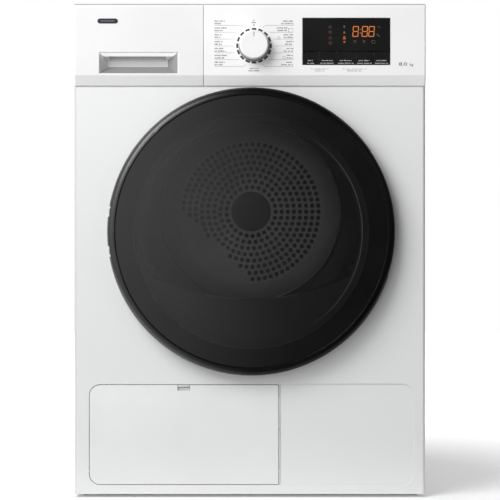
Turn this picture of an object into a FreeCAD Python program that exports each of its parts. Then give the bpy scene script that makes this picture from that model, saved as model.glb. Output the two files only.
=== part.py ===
import FreeCAD, Part
import math
import os

# Condenser clothes dryer. Millimetres, +Z up, front facing -Y, origin at the bottom centre.

# Envelope
HALF_WIDTH = 300.0
HEIGHT = 845.0
FRONT_Y = -282.0            # outer face of the front sheet
REAR_Y = 300.0              # outer face of the rear sheet
DEPTH_LIMIT = 320.0         # door front and rear duct cover both reach this far
SHEET = 1.2
PANEL_BOTTOM = 5.0
RETURN_Y = -270.0           # the front sheet's side returns end here
GAP = 0.4                   # visible seam between outer panels

# Control row
ROW_BOTTOM = 703.0
BAND_TOP = 720.6
ROW_TOP = 843.0
ROW_FACE_Y = -290.0
ROW_FOOT_Y = -284.0
ROW_BACK_Y = -262.0
ROW_SPLIT_X = -79.0
SPLIT_HALF = 0.3            # half the seam between tank front and control panel
ROW_WALL = 2.5
WORKTOP_BOTTOM = 827.0

# Programme knob
KNOB_X = 7.2
KNOB_Z = 770.9
KNOB_CAP_R = 24.3
KNOB_SKIRT_R = 26.5
KNOB_SHAFT_R = 3.0

# Display window and the keys in its lower strip
WINDOW_X0 = 89.6
WINDOW_X1 = 239.7
WINDOW_Z0 = 737.9
WINDOW_Z1 = 818.5
KEY_TOP_Z = 761.0
KEY_EDGES_X = [WINDOW_X0, 117.6, 147.4, 180.2, 210.7, WINDOW_X1]
WELL_FLOOR_Y = -280.0

# Handle recess of the tank front
RECESS_X0 = -256.6
RECESS_X1 = -122.4
RECESS_Z0 = 723.4
RECESS_Z1 = 759.3
RECESS_BACK_Y = -266.0
RECESS_TAPER = [11.5, 18.5, 13.5, 11.0]     # left, right, foot and top of the pocket draw in by this much
LIP_DEPTH = 12.0            # the top slope ends here in a hanging lip

# Door and mouth, on the drum's vertical plane
AXIS_X = 2.5
DOOR_Z = 454.0
DOOR_R = 244.8
LENS_R = 231.0
DOOR_BACK_Y = -285.0
PANEL_HOLE_R = 203.0
MOUTH_R = 190.0
LIP_LOW_Z = 337.0
LIP_R = 384.0

# Door hinge, on the left
HINGE_X = -233.0
HINGE_Y = -301.0
HINGE_PIN_R = 4.0
HINGE_ARM_Z = [420.0, 488.0]
HINGE_ARM_HALF = 5.0
HINGE_NOTCH_HALF = 9.0
RUN_FIT = 0.06              # radial running clearance of pins and shafts

# Grip pocket in the right edge of the door, angles from +X in degrees
GRIP_FROM = -18.0
GRIP_TO = 34.0

# Drum
DRUM_Z = 500.0
DRUM_R = 280.0
DRUM_SKIN = 1.0
DRUM_FRONT_Y = -225.0
DRUM_REAR_Y = 260.0
WALL_STEP_R = 182.0
GRILLE_R = 150.0
HUB_R = 40.0
HOLE_R = 4.4
HOLE_RINGS = 8
HOLE_FIRST_R = 49.6
HOLE_PITCH = 12.4
BLANK_CHORD = 96.3          # the grille is plain beyond this chord
LIFTER_TOP_R = 222.0
SHAFT_R = 10.0

# Drum front support
BULKHEAD_Y = -262.0
BULKHEAD_PLATE = 4.0
MOUTH_FRONT_Y = -280.7
MOUTH_REAR_Y = -207.0
SEAT_R = 268.0
ROLLER_R = 35.0
ROLLER_ANGLE = 35.0
ROLLER_PIN_R = 6.0

# Drive
MOTOR_X = 195.0
MOTOR_Z = 105.0
MOTOR_R = 58.0
MOTOR_SHAFT_R = 5.0
BELT_Y = -120.0
BELT_HALF = 5.0
BELT_THICK = 2.4
IDLER_X = 110.0
IDLER_Z = 155.0
IDLER_R = 18.0
IDLER_PIN_R = 4.0
ARM_PIVOT_X = 29.0
ARM_PIVOT_Z = 195.0

# Service flap and the plain embossed field beside it
FIELD_X0 = -274.0
FIELD_X1 = 279.0
FIELD_Z0 = 21.7
FIELD_Z1 = 191.7
FIELD_R = 18.0
FIELD_SINK = 1.2
FIELD_SLOPE = 2.4           # width of the field's sloping walls
FLAP_GAP = 0.9
FLAP_X1 = 49.0
FLAP_PIVOT_Y = -277.2
FLAP_PIVOT_Z = 44.0         # above the corner rounding, so the open flap clears the opening
FLAP_PIN_R = 2.0
LATCH_X = -113.0
LATCH_HALF = 9.5
LATCH_DROP = 3.8            # height of the latch's finger tab
LATCH_TRAVEL = 4.0

# Base
BASE_HALF = 287.0
BASE_FLOOR_Z = 8.0
SKIRT_Z = 1.6               # the tray's rim hangs down to just above the floor
FOOT_R = 18.0
FOOT_STEM_R = 5.0
FOOT_X = 250.0
FOOT_Y = [-235.0, 262.0]

# Rear sheet fittings
SCREW_PLACES = [(x, z) for x in (-275.0, 275.0) for z in (60.0, 300.0, 560.0, 800.0)]
CORD_X = -235.0
CORD_Z = 735.0

# Key stems
KEY_STEM_R = 2.0
KEY_STEM_Z = (WINDOW_Z0 + KEY_TOP_Z) / 2

# Water tank
TANK_TOP = 823.0
TANK_REAR_Y = 240.0

# Rear bulkhead and lint filter
REAR_BULKHEAD_Y = 268.0
FILTER_X0 = AXIS_X - 102.5
FILTER_X1 = AXIS_X + 102.5
FILTER_Y0 = -252.5
FILTER_Y1 = -230.5
FILTER_Z0 = 172.0

# Condenser and its channel
CHANNEL_X0 = -232.0
CHANNEL_X1 = 12.0
CHANNEL_FLOOR = 42.0
CHANNEL_TOP = 168.0
CORE_X0 = CHANNEL_X0 + 6
CORE_X1 = CHANNEL_X1 - 6
CORE_Z0 = CHANNEL_FLOOR + 4
CORE_Z1 = 160.0
LEVER_Z = 100.0
LEVER_X = [CORE_X0 + 15, CORE_X1 - 15]
LEVER_PIN_R = 4.0

VIA = "via"                 # marks the middle point of an arc in an outline
TOUCH = 0.01
BIG = 10000.0

UP = FreeCAD.Vector(0, 0, 1)
BACK = FreeCAD.Vector(0, 1, 0)
RIGHT = FreeCAD.Vector(1, 0, 0)


def vec(x, y, z):
    return FreeCAD.Vector(x, y, z)


def box(x0, x1, y0, y1, z0, z1):
    return Part.makeBox(x1 - x0, y1 - y0, z1 - z0, vec(x0, y0, z0))


def rod_y(r, y0, y1, x, z):
    return Part.makeCylinder(r, y1 - y0, vec(x, y0, z), BACK)


def rod_z(r, z0, z1, x, y):
    return Part.makeCylinder(r, z1 - z0, vec(x, y, z0), UP)


def rod_x(r, x0, x1, y, z):
    return Part.makeCylinder(r, x1 - x0, vec(x0, y, z), RIGHT)


def tube_y(r_out, r_in, y0, y1, x, z):
    return rod_y(r_out, y0, y1, x, z).cut(rod_y(r_in, y0 - 1, y1 + 1, x, z))


def join(first, *others):
    """One solid from touching pieces, with the seams between them removed."""
    return first.multiFuse(list(others)).removeSplitter()


def outline_face(profile, place):
    """Face inside a closed outline. A point marked VIA is the middle of an arc between its neighbours."""
    corners = [i for i, p in enumerate(profile) if VIA not in p]
    edges = []
    for n, i in enumerate(corners):
        j = corners[(n + 1) % len(corners)]
        start = place(*profile[i])
        end = place(*profile[j])
        if (i + 1) % len(profile) == j:
            edges.append(Part.LineSegment(start, end).toShape())
        else:
            edges.append(Part.Arc(start, place(*profile[i + 1][:2]), end).toShape())
    return Part.Face(Part.Wire(edges))


def prism_x(profile, x0, x1):
    """Prism along X over a (y, z) outline."""
    return outline_face(profile, lambda y, z: vec(x0, y, z)).extrude(vec(x1 - x0, 0, 0))


def prism_y(profile, y0, y1):
    """Prism along Y over an (x, z) outline."""
    return outline_face(profile, lambda x, z: vec(x, y0, z)).extrude(vec(0, y1 - y0, 0))


def prism_z(profile, z0, z1):
    """Prism along Z over an (x, y) outline."""
    return outline_face(profile, lambda x, y: vec(x, y, z0)).extrude(vec(0, 0, z1 - z0))


def spun(profile, x, z):
    """Body of revolution about the Y line through (x, z), from a (radius, y) outline."""
    return outline_face(profile, lambda r, y: vec(x + r, y, z)).revolve(vec(x, 0, z), BACK, 360)


def round_edges(shape, radius, region, along=None):
    """Fillet the edges wholly inside a box (x0, x1, y0, y1, z0, z1), or only those along a direction."""
    x0, x1, y0, y1, z0, z1 = region
    chosen = []
    for edge in shape.Edges:
        b = edge.BoundBox
        inside = b.XMin >= x0 and b.XMax <= x1 and b.YMin >= y0 and b.YMax <= y1
        inside = inside and b.ZMin >= z0 and b.ZMax <= z1
        if inside and (along is None or abs(edge.tangentAt(edge.FirstParameter).dot(along)) > 0.99):
            chosen.append(edge)
    return shape.makeFillet(radius, chosen)


def front_edges(shape, radius, y):
    """Fillet every edge that lies in the plane y."""
    return round_edges(shape, radius, (-BIG, BIG, y - TOUCH, y + TOUCH, -BIG, BIG))


def slab(x0, x1, z0, z1, y0, y1, r_left, r_right):
    """Plate facing Y with its left and right corners rounded."""
    left = box(x0, (x0 + x1) / 2, y0, y1, z0, z1)
    right = box((x0 + x1) / 2, x1, y0, y1, z0, z1)
    body = left.fuse(right).removeSplitter()
    for x, r, inward in ((x0, r_left, 1), (x1, r_right, -1)):
        for z, upward in ((z0, 1), (z1, -1)):
            cx = x + inward * r
            cz = z + upward * r
            corner = box(min(x, cx), max(x, cx), y0 - 1, y1 + 1, min(z, cz), max(z, cz))
            body = body.cut(corner.cut(rod_y(r, y0 - 2, y1 + 2, cx, cz)))
    return body


def save(name, shape):
    shape.exportStep("parts/" + name + ".step")


# ---------------------------------------------------------------- mouth outline

def mouth(y0, y1, grow=0.0):
    """The loading mouth: a circle whose foot is cut off by the shallow arc of the lip."""
    circle = rod_y(MOUTH_R + grow, y0, y1, AXIS_X, DOOR_Z)
    lip = rod_y(LIP_R + grow, y0 - 1, y1 + 1, AXIS_X, LIP_LOW_Z + LIP_R)
    return circle.common(lip)


# ---------------------------------------------------------------- cabinet

def side_panel(side):
    """Side sheet with a flange turned in behind the front panel's return."""
    y0 = RETURN_Y + GAP
    y1 = REAR_Y - SHEET - 0.3
    z1 = WORKTOP_BOTTOM - GAP
    skin = box(HALF_WIDTH - SHEET, HALF_WIDTH, y0, y1, PANEL_BOTTOM, z1)
    flange = box(HALF_WIDTH - 11.5, HALF_WIDTH, y0, y0 + SHEET, PANEL_BOTTOM, z1)
    beside_row = box(0, HALF_WIDTH + 1, FRONT_Y, ROW_BACK_Y + GAP, ROW_BOTTOM - GAP, HEIGHT)
    body = join(skin, flange).cut(beside_row)
    if side < 0:
        body = body.mirror(vec(0, 0, 0), RIGHT)
    return body


def field_outline(y, grow, left):
    """Outline of the lower field at one depth; only its right corners are rounded."""
    r = FIELD_R + grow
    x1 = FIELD_X1 + grow
    z0 = FIELD_Z0 - grow
    z1 = FIELD_Z1 + grow
    bulge = r * (1 - math.sqrt(0.5))
    profile = [(left, z0), (x1 - r, z0), (x1 - bulge, z0 + bulge, VIA), (x1, z0 + r), (x1, z1 - r),
               (x1 - bulge, z1 - bulge, VIA), (x1 - r, z1), (left, z1)]
    return outline_face(profile, lambda x, z: vec(x, y, z)).OuterWire


def field_pocket(behind, left):
    """Hollow of the lower field with sloping walls; behind shifts it back by a sheet thickness."""
    front = field_outline(FRONT_Y + behind - TOUCH, FIELD_SLOPE + behind, left)
    floor = field_outline(FRONT_Y + FIELD_SINK + behind, behind, left)
    return Part.makeLoft([front, floor], True, True)


def hinge_slot(z):
    return box(HINGE_X + 8.5, HINGE_X + 26.5, FRONT_Y - 1, FRONT_Y + SHEET + 1, z - 7, z + 7)


def front_panel():
    """Front sheet whose rounded side edges wrap back to the side panels."""
    r = 5.0
    z1 = ROW_BOTTOM - GAP
    field_left = FLAP_X1 + 2.5
    outer = box(-HALF_WIDTH, HALF_WIDTH, FRONT_Y, RETURN_Y, PANEL_BOTTOM, z1)
    outer = round_edges(outer, r, (-BIG, BIG, FRONT_Y - TOUCH, FRONT_Y + TOUCH, PANEL_BOTTOM - 1, z1 + 1), UP)
    inner = box(SHEET - HALF_WIDTH, HALF_WIDTH - SHEET, FRONT_Y + SHEET, RETURN_Y + 5, 0, HEIGHT)
    inner = round_edges(inner, r - SHEET, (-BIG, BIG, FRONT_Y, FRONT_Y + SHEET + TOUCH, -1, HEIGHT + 1), UP)
    body = outer.cut(inner).fuse(field_pocket(SHEET, field_left - SHEET)).cut(field_pocket(0.0, field_left))
    body = body.cut(rod_y(PANEL_HOLE_R, FRONT_Y - 1, FRONT_Y + 3, AXIS_X, DOOR_Z))
    body = body.cut(slab(FIELD_X0 - FLAP_GAP, FLAP_X1 + FLAP_GAP, FIELD_Z0 - FLAP_GAP, FIELD_Z1 + FLAP_GAP,
                         FRONT_Y - 1, FRONT_Y + SHEET, FIELD_R + FLAP_GAP, 2.5))
    body = body.cut(box(212, 230, FRONT_Y - 1, FRONT_Y + 3, DOOR_Z - 12, DOOR_Z + 12))
    for z in HINGE_ARM_Z:
        body = body.cut(hinge_slot(z))
    return body.removeSplitter()


def top_panel():
    """Worktop with its sides and back eased along the top."""
    y0 = ROW_BACK_Y + 0.5
    body = box(-HALF_WIDTH, HALF_WIDTH, y0, REAR_Y, WORKTOP_BOTTOM, HEIGHT)
    around_top = (-BIG, BIG, y0 + 1, BIG, HEIGHT - TOUCH, HEIGHT + TOUCH)
    body = round_edges(body, 3.0, around_top)
    for x in (-HALF_WIDTH, HALF_WIDTH):
        corner = (x - TOUCH, x + TOUCH, y0 - TOUCH, REAR_Y, HEIGHT - TOUCH, HEIGHT + TOUCH)
        body = round_edges(body, 3.0, corner)
    return body


def duct_outline(y0, y1, grow=0.0):
    """Air duct behind the drum: a round chamber over a straight riser."""
    round_part = rod_y(190.0 + grow, y0, y1, AXIS_X, DRUM_Z)
    riser = box(AXIS_X - 125 - grow, AXIS_X + 125 + grow, y0, y1, 120 - grow, DRUM_Z)
    return round_part.fuse(riser).removeSplitter()


def rear_panel():
    edge = HALF_WIDTH - SHEET - 0.3
    body = box(-edge, edge, REAR_Y - SHEET, REAR_Y, PANEL_BOTTOM, WORKTOP_BOTTOM - 0.3)
    body = body.cut(duct_outline(REAR_Y - 5, REAR_Y + 5, 0.0))
    for x, z in SCREW_PLACES:
        body = body.cut(rod_y(2.0, REAR_Y - 5, REAR_Y + 5, x, z))
    return body.cut(rod_y(9.0, REAR_Y - 5, REAR_Y + 5, CORD_X, CORD_Z))


def cord_inlet():
    """Flanged grommet in the rear sheet."""
    flange = rod_y(14.0, REAR_Y, REAR_Y + 6, CORD_X, CORD_Z)
    neck = rod_y(9.0, REAR_Y - 6, REAR_Y, CORD_X, CORD_Z)
    bore = rod_y(5.0, REAR_Y - 10, REAR_Y + 10, CORD_X, CORD_Z)
    return join(flange, neck).cut(bore)


def panel_screws():
    heads = []
    for x, z in SCREW_PLACES:
        head = rod_y(4.5, REAR_Y, REAR_Y + 2.5, x, z)
        shank = rod_y(2.0, REAR_Y - 8, REAR_Y, x, z)
        cross = box(x - 2.6, x + 2.6, REAR_Y + 1.2, REAR_Y + 3, z - 0.5, z + 0.5)
        bar = box(x - 0.5, x + 0.5, REAR_Y + 1.2, REAR_Y + 3, z - 2.6, z + 2.6)
        heads.append(join(head, shank).cut(cross).cut(bar))
    return Part.makeCompound(heads)


def rear_duct_cover():
    skin = 2.0
    rim = duct_outline(REAR_Y + 0.1, REAR_Y + 2.0, 12.0)
    shell = duct_outline(REAR_Y + 0.1, DEPTH_LIMIT, 0.0)
    hollow = duct_outline(REAR_Y - 1, DEPTH_LIMIT - skin, -skin)
    return rim.fuse(shell).cut(hollow).removeSplitter()


# ---------------------------------------------------------------- control row

def row_profile(inset):
    """Section of the control row in (y, z); its lower band leans back towards the panel."""
    ease = 6.0 - inset
    face = ROW_FACE_Y + inset
    top = ROW_TOP - inset
    back = ROW_BACK_Y + (1.0 if inset else 0.0)
    bulge = ease * (1 - math.sqrt(0.5))
    return [(back, ROW_BOTTOM + inset), (ROW_FOOT_Y + inset, ROW_BOTTOM + inset), (face, BAND_TOP + inset / 2),
            (face, top - ease), (face + bulge, top - bulge, VIA), (face + ease, top), (back, top)]


def row_block(x0, x1, r0, r1):
    """Solid stretch of the control row with its two end edges rounded."""
    block = prism_x(row_profile(0.0), x0, x1)
    for x, r in ((x0, r0), (x1, r1)):
        end = (x - TOUCH, x + TOUCH, -BIG, ROW_BACK_Y - 1, ROW_BOTTOM - 1, ROW_TOP - 1)
        block = round_edges(block, r, end)
    return block


def row_shell(x0, x1, r0, r1):
    """Open-backed moulding of the control row between two X planes."""
    inner = prism_x(row_profile(ROW_WALL), x0 + ROW_WALL, x1 - ROW_WALL)
    return row_block(x0, x1, r0, r1).cut(inner)


def key_middle(index):
    return (KEY_EDGES_X[index] + KEY_EDGES_X[index + 1]) / 2


def control_panel():
    wall = ROW_WALL
    body = row_shell(ROW_SPLIT_X + SPLIT_HALF, HALF_WIDTH, 0.6, 2.2)
    well = box(WINDOW_X0 - wall, WINDOW_X1 + wall, ROW_FACE_Y + 1, WELL_FLOOR_Y + 2,
               WINDOW_Z0 - wall, WINDOW_Z1 + wall)
    body = body.fuse(well)
    body = body.cut(box(WINDOW_X0, WINDOW_X1, ROW_FACE_Y - 1, WELL_FLOOR_Y, WINDOW_Z0, WINDOW_Z1))
    for index in range(len(KEY_EDGES_X) - 1):
        x = key_middle(index)
        body = body.cut(rod_y(KEY_STEM_R + 0.3, WELL_FLOOR_Y - 1, WELL_FLOOR_Y + 3, x, KEY_STEM_Z))
    boss = rod_y(7.0, ROW_FACE_Y + 1, ROW_FACE_Y + 10, KNOB_X, KNOB_Z)
    bore = rod_y(KNOB_SHAFT_R + RUN_FIT, ROW_FACE_Y - 1, ROW_FACE_Y + 12, KNOB_X, KNOB_Z)
    return body.fuse(boss).cut(bore).removeSplitter()


def display_window():
    """Smoked window plate on a rim that stands on the floor of the well."""
    x0 = WINDOW_X0 + 0.3
    x1 = WINDOW_X1 - 0.3
    z0 = KEY_TOP_Z + 0.4
    z1 = WINDOW_Z1 - 0.3
    block = box(x0, x1, ROW_FACE_Y - 0.6, WELL_FLOOR_Y - 0.1, z0, z1)
    hollow = box(x0 + 2, x1 - 2, ROW_FACE_Y + 2.4, WELL_FLOOR_Y + 1, z0 + 2, z1 - 2)
    return front_edges(block.cut(hollow), 0.8, ROW_FACE_Y - 0.6)


def key(index):
    side = 0.4
    x0 = KEY_EDGES_X[index] + side
    x1 = KEY_EDGES_X[index + 1] - side
    cap = box(x0, x1, ROW_FACE_Y - 0.5, ROW_FACE_Y + 3.5, WINDOW_Z0 + side, KEY_TOP_Z - side)
    stem = rod_y(KEY_STEM_R, ROW_FACE_Y + 3.5, WELL_FLOOR_Y + 3, key_middle(index), KEY_STEM_Z)
    return front_edges(join(cap, stem), 0.6, ROW_FACE_Y - 0.5)


def programme_knob():
    skirt_back = ROW_FACE_Y - 0.4
    cap_front = ROW_FACE_Y - 22.0
    profile = [(0, skirt_back + 10), (KNOB_SHAFT_R, skirt_back + 10), (KNOB_SHAFT_R, skirt_back),
               (KNOB_SKIRT_R, skirt_back), (KNOB_SKIRT_R, skirt_back - 4),
               (KNOB_SKIRT_R - 0.5, skirt_back - 5.2, VIA), (KNOB_SKIRT_R - 1.4, skirt_back - 5.6),
               (KNOB_CAP_R + 0.5, skirt_back - 5.6), (KNOB_CAP_R - 0.3, cap_front + 2.4),
               (KNOB_CAP_R - 1.0, cap_front + 0.7, VIA), (KNOB_CAP_R - 2.7, cap_front),
               (0, cap_front)]
    body = spun(profile, KNOB_X, KNOB_Z)
    tick = box(KNOB_X - 1.0, KNOB_X + 1.0, cap_front - 1, cap_front + 0.6,
               KNOB_Z + KNOB_CAP_R - 11, KNOB_Z + KNOB_CAP_R - 3)
    return body.cut(tick)


# ---------------------------------------------------------------- water tank


def tank_section(shrink):
    """Section of the tank space in (x, z): a slanted floor follows the drum."""
    return [(-290.0 + shrink, 722.0 + shrink), (-226.6 - shrink * 0.4, 722.0 + shrink),
            (-86.0 - shrink, 790.3 + shrink * 0.7), (-86.0 - shrink, TANK_TOP - shrink),
            (-290.0 + shrink, TANK_TOP - shrink)]


def tank_housing():
    """Open-topped guide tray for the tank."""
    wall = 2.0
    y0 = ROW_BACK_Y + 7
    outer = prism_y(tank_section(-wall), y0, TANK_REAR_Y + 5)
    inner = prism_y(tank_section(0.0), y0 - 1, TANK_REAR_Y + 5 - wall)
    lid = box(-300, 0, y0 - 2, TANK_REAR_Y + 6, TANK_TOP - 0.5, HEIGHT)
    return outer.cut(inner).cut(lid)


def water_tank():
    wall = 2.5
    shrink = 1.5
    y0 = ROW_BACK_Y + 0.3
    outer = prism_y(tank_section(shrink), y0, TANK_REAR_Y - 3)
    inner = prism_y(tank_section(shrink + wall), y0 + wall, TANK_REAR_Y - 3 - wall)
    filler = rod_z(15.0, TANK_TOP - 8, TANK_TOP + 2, -258, 180)
    return outer.cut(inner).cut(filler)


def recess_rect(y, drawn_in, grow):
    """Outline of the pocket at one depth; drawn_in runs from 0 at the face to 1 at the back."""
    left, right, foot_rise, top_drop = [taper * drawn_in for taper in RECESS_TAPER]
    x0 = RECESS_X0 + left - grow
    x1 = RECESS_X1 - right + grow
    z0 = RECESS_Z0 + foot_rise - grow
    z1 = RECESS_Z1 - top_drop + grow
    return Part.makePolygon([vec(x0, y, z0), vec(x1, y, z0), vec(x1, y, z1), vec(x0, y, z1), vec(x0, y, z0)])


def recess(grow):
    """Tapering finger pocket, widest at the face."""
    front = recess_rect(ROW_FACE_Y - TOUCH, 0.0, grow)
    back = recess_rect(RECESS_BACK_Y + grow, 1.0, grow)
    return Part.makeLoft([front, back], True, True)


def recess_undercut(grow):
    """Finger room behind the hanging lip."""
    return box(RECESS_X0 + 16 - grow, RECESS_X1 - 22 + grow, ROW_FACE_Y + LIP_DEPTH - grow, RECESS_BACK_Y - 1 + grow,
               RECESS_Z1 - 14, RECESS_Z1 + 3 + grow)


def tank_front():
    body = row_shell(-HALF_WIDTH, ROW_SPLIT_X - SPLIT_HALF, 2.2, 0.6)
    solid_row = prism_x(row_profile(0.0), -HALF_WIDTH, ROW_SPLIT_X - SPLIT_HALF)
    pocket = recess(2.2).common(solid_row)
    eased = 0.8
    rim = Part.makeLoft([recess_rect(ROW_FACE_Y - TOUCH, 0.0, eased), recess_rect(ROW_FACE_Y + eased, 0.0, 0.0)],
                        True, True)
    body = body.fuse(pocket).fuse(recess_undercut(2.0))
    return body.cut(recess(0.0)).cut(recess_undercut(0.0)).cut(rim).removeSplitter()


# ---------------------------------------------------------------- door

def door_lens():
    """Domed tinted cover over the whole face of the door, 3 mm thick."""
    skin = 3.0
    sag = 5.0
    sphere_r = (LENS_R ** 2 + sag ** 2) / (2 * sag)
    centre_y = sphere_r - DEPTH_LIMIT

    def on_dome(r, inset):
        return r, centre_y - math.sqrt((sphere_r - inset) ** 2 - r ** 2)

    half = LENS_R / 2
    edge = LENS_R - 0.8
    profile = [on_dome(0, 0.0), on_dome(half, 0.0) + (VIA,), on_dome(edge, 0.0),
               (LENS_R, DOOR_BACK_Y - 29.2), on_dome(LENS_R, skin), on_dome(half, skin) + (VIA,), on_dome(0, skin)]
    return spun(profile, AXIS_X, DOOR_Z)


def hinge_notches(z_half):
    """Room in the door for the two fixed hinge arms."""
    notches = [box(HINGE_X - 17, HINGE_X + 25, HINGE_Y - 8.3, DOOR_BACK_Y + 2, z - z_half, z + z_half)
               for z in HINGE_ARM_Z]
    return notches[0].fuse(notches[1])


def wedge_sector(r0, r1, y0, y1, angle_from, angle_to):
    """Part of a ring about the door's axis between two angles, counted from +X towards +Z."""
    middle = vec(AXIS_X, 0, DOOR_Z)
    corners = [(r0, y0), (r1, y0), (r1, y1), (r0, y1), (r0, y0)]
    face = Part.Face(Part.makePolygon([middle + vec(r, y, 0) for r, y in corners]))
    face.rotate(middle, -BACK, angle_from)
    return face.revolve(middle, -BACK, angle_to - angle_from)


def door_ring():
    back = DOOR_BACK_Y
    profile = [(LENS_R + 0.3, back - 29.4), (LENS_R + 0.8, back - 30), (LENS_R + 9.6, back - 26.2, VIA),
               (DOOR_R, back - 18), (DOOR_R, back - 9), (DOOR_R - 2.6, back - 3, VIA), (DOOR_R - 8, back),
               (DOOR_R - 10.8, back), (DOOR_R - 10.8, back - 2), (DOOR_R - 3, back - 10),
               (DOOR_R - 3, back - 18), (DOOR_R - 5.5, back - 24.4),
               (DOOR_R - 41, back - 24.4), (DOOR_R - 41, back - 26.9), (LENS_R + 0.3, back - 26.9)]
    body = spun(profile, AXIS_X, DOOR_Z).cut(hinge_notches(HINGE_NOTCH_HALF))
    grip = wedge_sector(LENS_R - 10, DOOR_R + 5, back - 22, back + 5, GRIP_FROM, GRIP_TO)
    return body.cut(grip)


def door_frame():
    """Inner frame: a tube behind the lens and a flat plate that closes the back."""
    back = DOOR_BACK_Y
    profile = [(206, back - 24.3), (209, back - 24.3), (209, back - 3), (LENS_R + 0.6, back - 3),
               (LENS_R + 0.6, back - 0.5), (199, back - 0.5), (199, back - 3), (206, back - 3)]
    body = spun(profile, AXIS_X, DOOR_Z).cut(hinge_notches(HINGE_NOTCH_HALF))
    body = body.cut(wedge_sector(224.4, DOOR_R + 5, back - 4, back + 1, GRIP_FROM - 1, GRIP_TO + 1))
    wall = wedge_sector(222, 224.5, back - 24.3, back - 0.5, GRIP_FROM - 1, GRIP_TO + 1)
    return body.fuse(wall).removeSplitter()


def door_bowl():
    """Clear inner window: a flange, and a bulge whose foot follows the lip of the mouth."""
    back = DOOR_BACK_Y
    skin = 3.0
    lip_gap = 5.0
    flange = rod_y(204, back - 5.7, back - 3.1, AXIS_X, DOOR_Z)
    outer = spun([(0, back - 5.7), (177, back - 5.7), (176, back - 3.1), (165, back + 12), (148, back + 20),
                  (118, back + 23), (0, back + 23)], AXIS_X, DOOR_Z)
    inner = spun([(0, back - 9), (173.5, back - 9), (173.5, back - 5.7), (162, back + 10.5), (146.5, back + 17),
                  (118, back + 20), (0, back + 20)], AXIS_X, DOOR_Z)
    outer = outer.common(mouth(back - 10, back + 30, -lip_gap))
    inner = inner.common(mouth(back - 11, back + 31, -lip_gap - skin))
    return flange.fuse(outer).cut(inner).removeSplitter()


def door_gasket():
    back = DOOR_BACK_Y
    profile = [(187, back - 3), (198.8, back - 3), (198.8, back + 1), (192.9, back + 3.8, VIA), (187, back + 1)]
    return spun(profile, AXIS_X, DOOR_Z)


def door_hook():
    x = 220.0
    y0 = DOOR_BACK_Y - 0.4
    shank = box(x - 3, x + 3, y0, y0 + 18, DOOR_Z - 8, DOOR_Z + 8)
    foot = box(x - 5, x + 3, y0, y0 + 2.5, DOOR_Z - 14, DOOR_Z + 14)
    window = box(x - 4, x + 4, y0 + 9, y0 + 14, DOOR_Z - 4, DOOR_Z + 4)
    return join(shank, foot).cut(window)


def door_hinge():
    """Pivot pin with the leaf that carries the door."""
    low = HINGE_ARM_Z[0] - 8
    high = HINGE_ARM_Z[1] + 8
    pin = rod_z(HINGE_PIN_R, low, high, HINGE_X, HINGE_Y)
    leaf = box(HINGE_X, HINGE_X + 25.5, HINGE_Y - 2, HINGE_Y + 2, HINGE_ARM_Z[0] + 10, HINGE_ARM_Z[1] - 10)
    return join(pin, leaf)


def hinge_bracket():
    """Fixed hinge part: a plate behind the sheet and two goose-neck arms to the pin."""
    plate = box(HINGE_X + 1, HINGE_X + 27, FRONT_Y + SHEET + 0.1, FRONT_Y + SHEET + 2.6,
                HINGE_ARM_Z[0] - 20, HINGE_ARM_Z[1] + 20)
    neck = [(HINGE_X - 1, HINGE_Y + 6.3), (HINGE_X + 12, FRONT_Y + SHEET + 0.2), (HINGE_X + 24, FRONT_Y + SHEET + 0.2),
            (HINGE_X + 6.3, HINGE_Y - 1)]
    body = plate
    for z in HINGE_ARM_Z:
        arm = prism_z(neck, z - HINGE_ARM_HALF, z + HINGE_ARM_HALF)
        eye = rod_z(6.4, z - HINGE_ARM_HALF, z + HINGE_ARM_HALF, HINGE_X, HINGE_Y)
        bore = rod_z(HINGE_PIN_R + RUN_FIT, z - 10, z + 10, HINGE_X, HINGE_Y)
        body = body.fuse(arm).fuse(eye).cut(bore)
    return body.removeSplitter()


def door_catch():
    y0 = FRONT_Y + SHEET + 0.1
    y1 = BULKHEAD_Y - 0.2
    body = box(210, 234, y0, y1, DOOR_Z - 18, DOOR_Z + 18)
    return body.cut(box(213, 230, y0 - 1, y1 - 1.5, DOOR_Z - 11, DOOR_Z + 11))


# ---------------------------------------------------------------- drum

def drum_shell():
    """Rolled drum skin with two stiffening beads and a turned-in front edge."""
    r = DRUM_R
    bead = 2.0
    front = DRUM_FRONT_Y
    profile = [(r - DRUM_SKIN, front), (r, front), (r, -150), (r - bead, -146), (r - bead, -138), (r, -134),
               (r, 150), (r - bead, 154), (r - bead, 162), (r, 166), (r, DRUM_REAR_Y),
               (r - DRUM_SKIN, DRUM_REAR_Y), (r - DRUM_SKIN, 166), (r - bead - DRUM_SKIN, 162),
               (r - bead - DRUM_SKIN, 154), (r - DRUM_SKIN, 150), (r - DRUM_SKIN, -134),
               (r - bead - DRUM_SKIN, -138), (r - bead - DRUM_SKIN, -146), (r - DRUM_SKIN, -150)]
    return spun(profile, AXIS_X, DRUM_Z)


def drum_rear_wall():
    """Pressed rear wall whose middle stands forward around the air grille."""
    edge = DRUM_R - DRUM_SKIN - 0.1
    skin = 1.5
    y = DRUM_REAR_Y
    step = 10.0
    profile = [(edge, y), (WALL_STEP_R + 4, y), (WALL_STEP_R - 3, y - step), (GRILLE_R - 8, y - step),
               (GRILLE_R - 8, y - step - skin), (WALL_STEP_R - 2, y - step - skin), (WALL_STEP_R + 5, y - skin),
               (edge, y - skin)]
    return spun(profile, AXIS_X, DRUM_Z)


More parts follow.
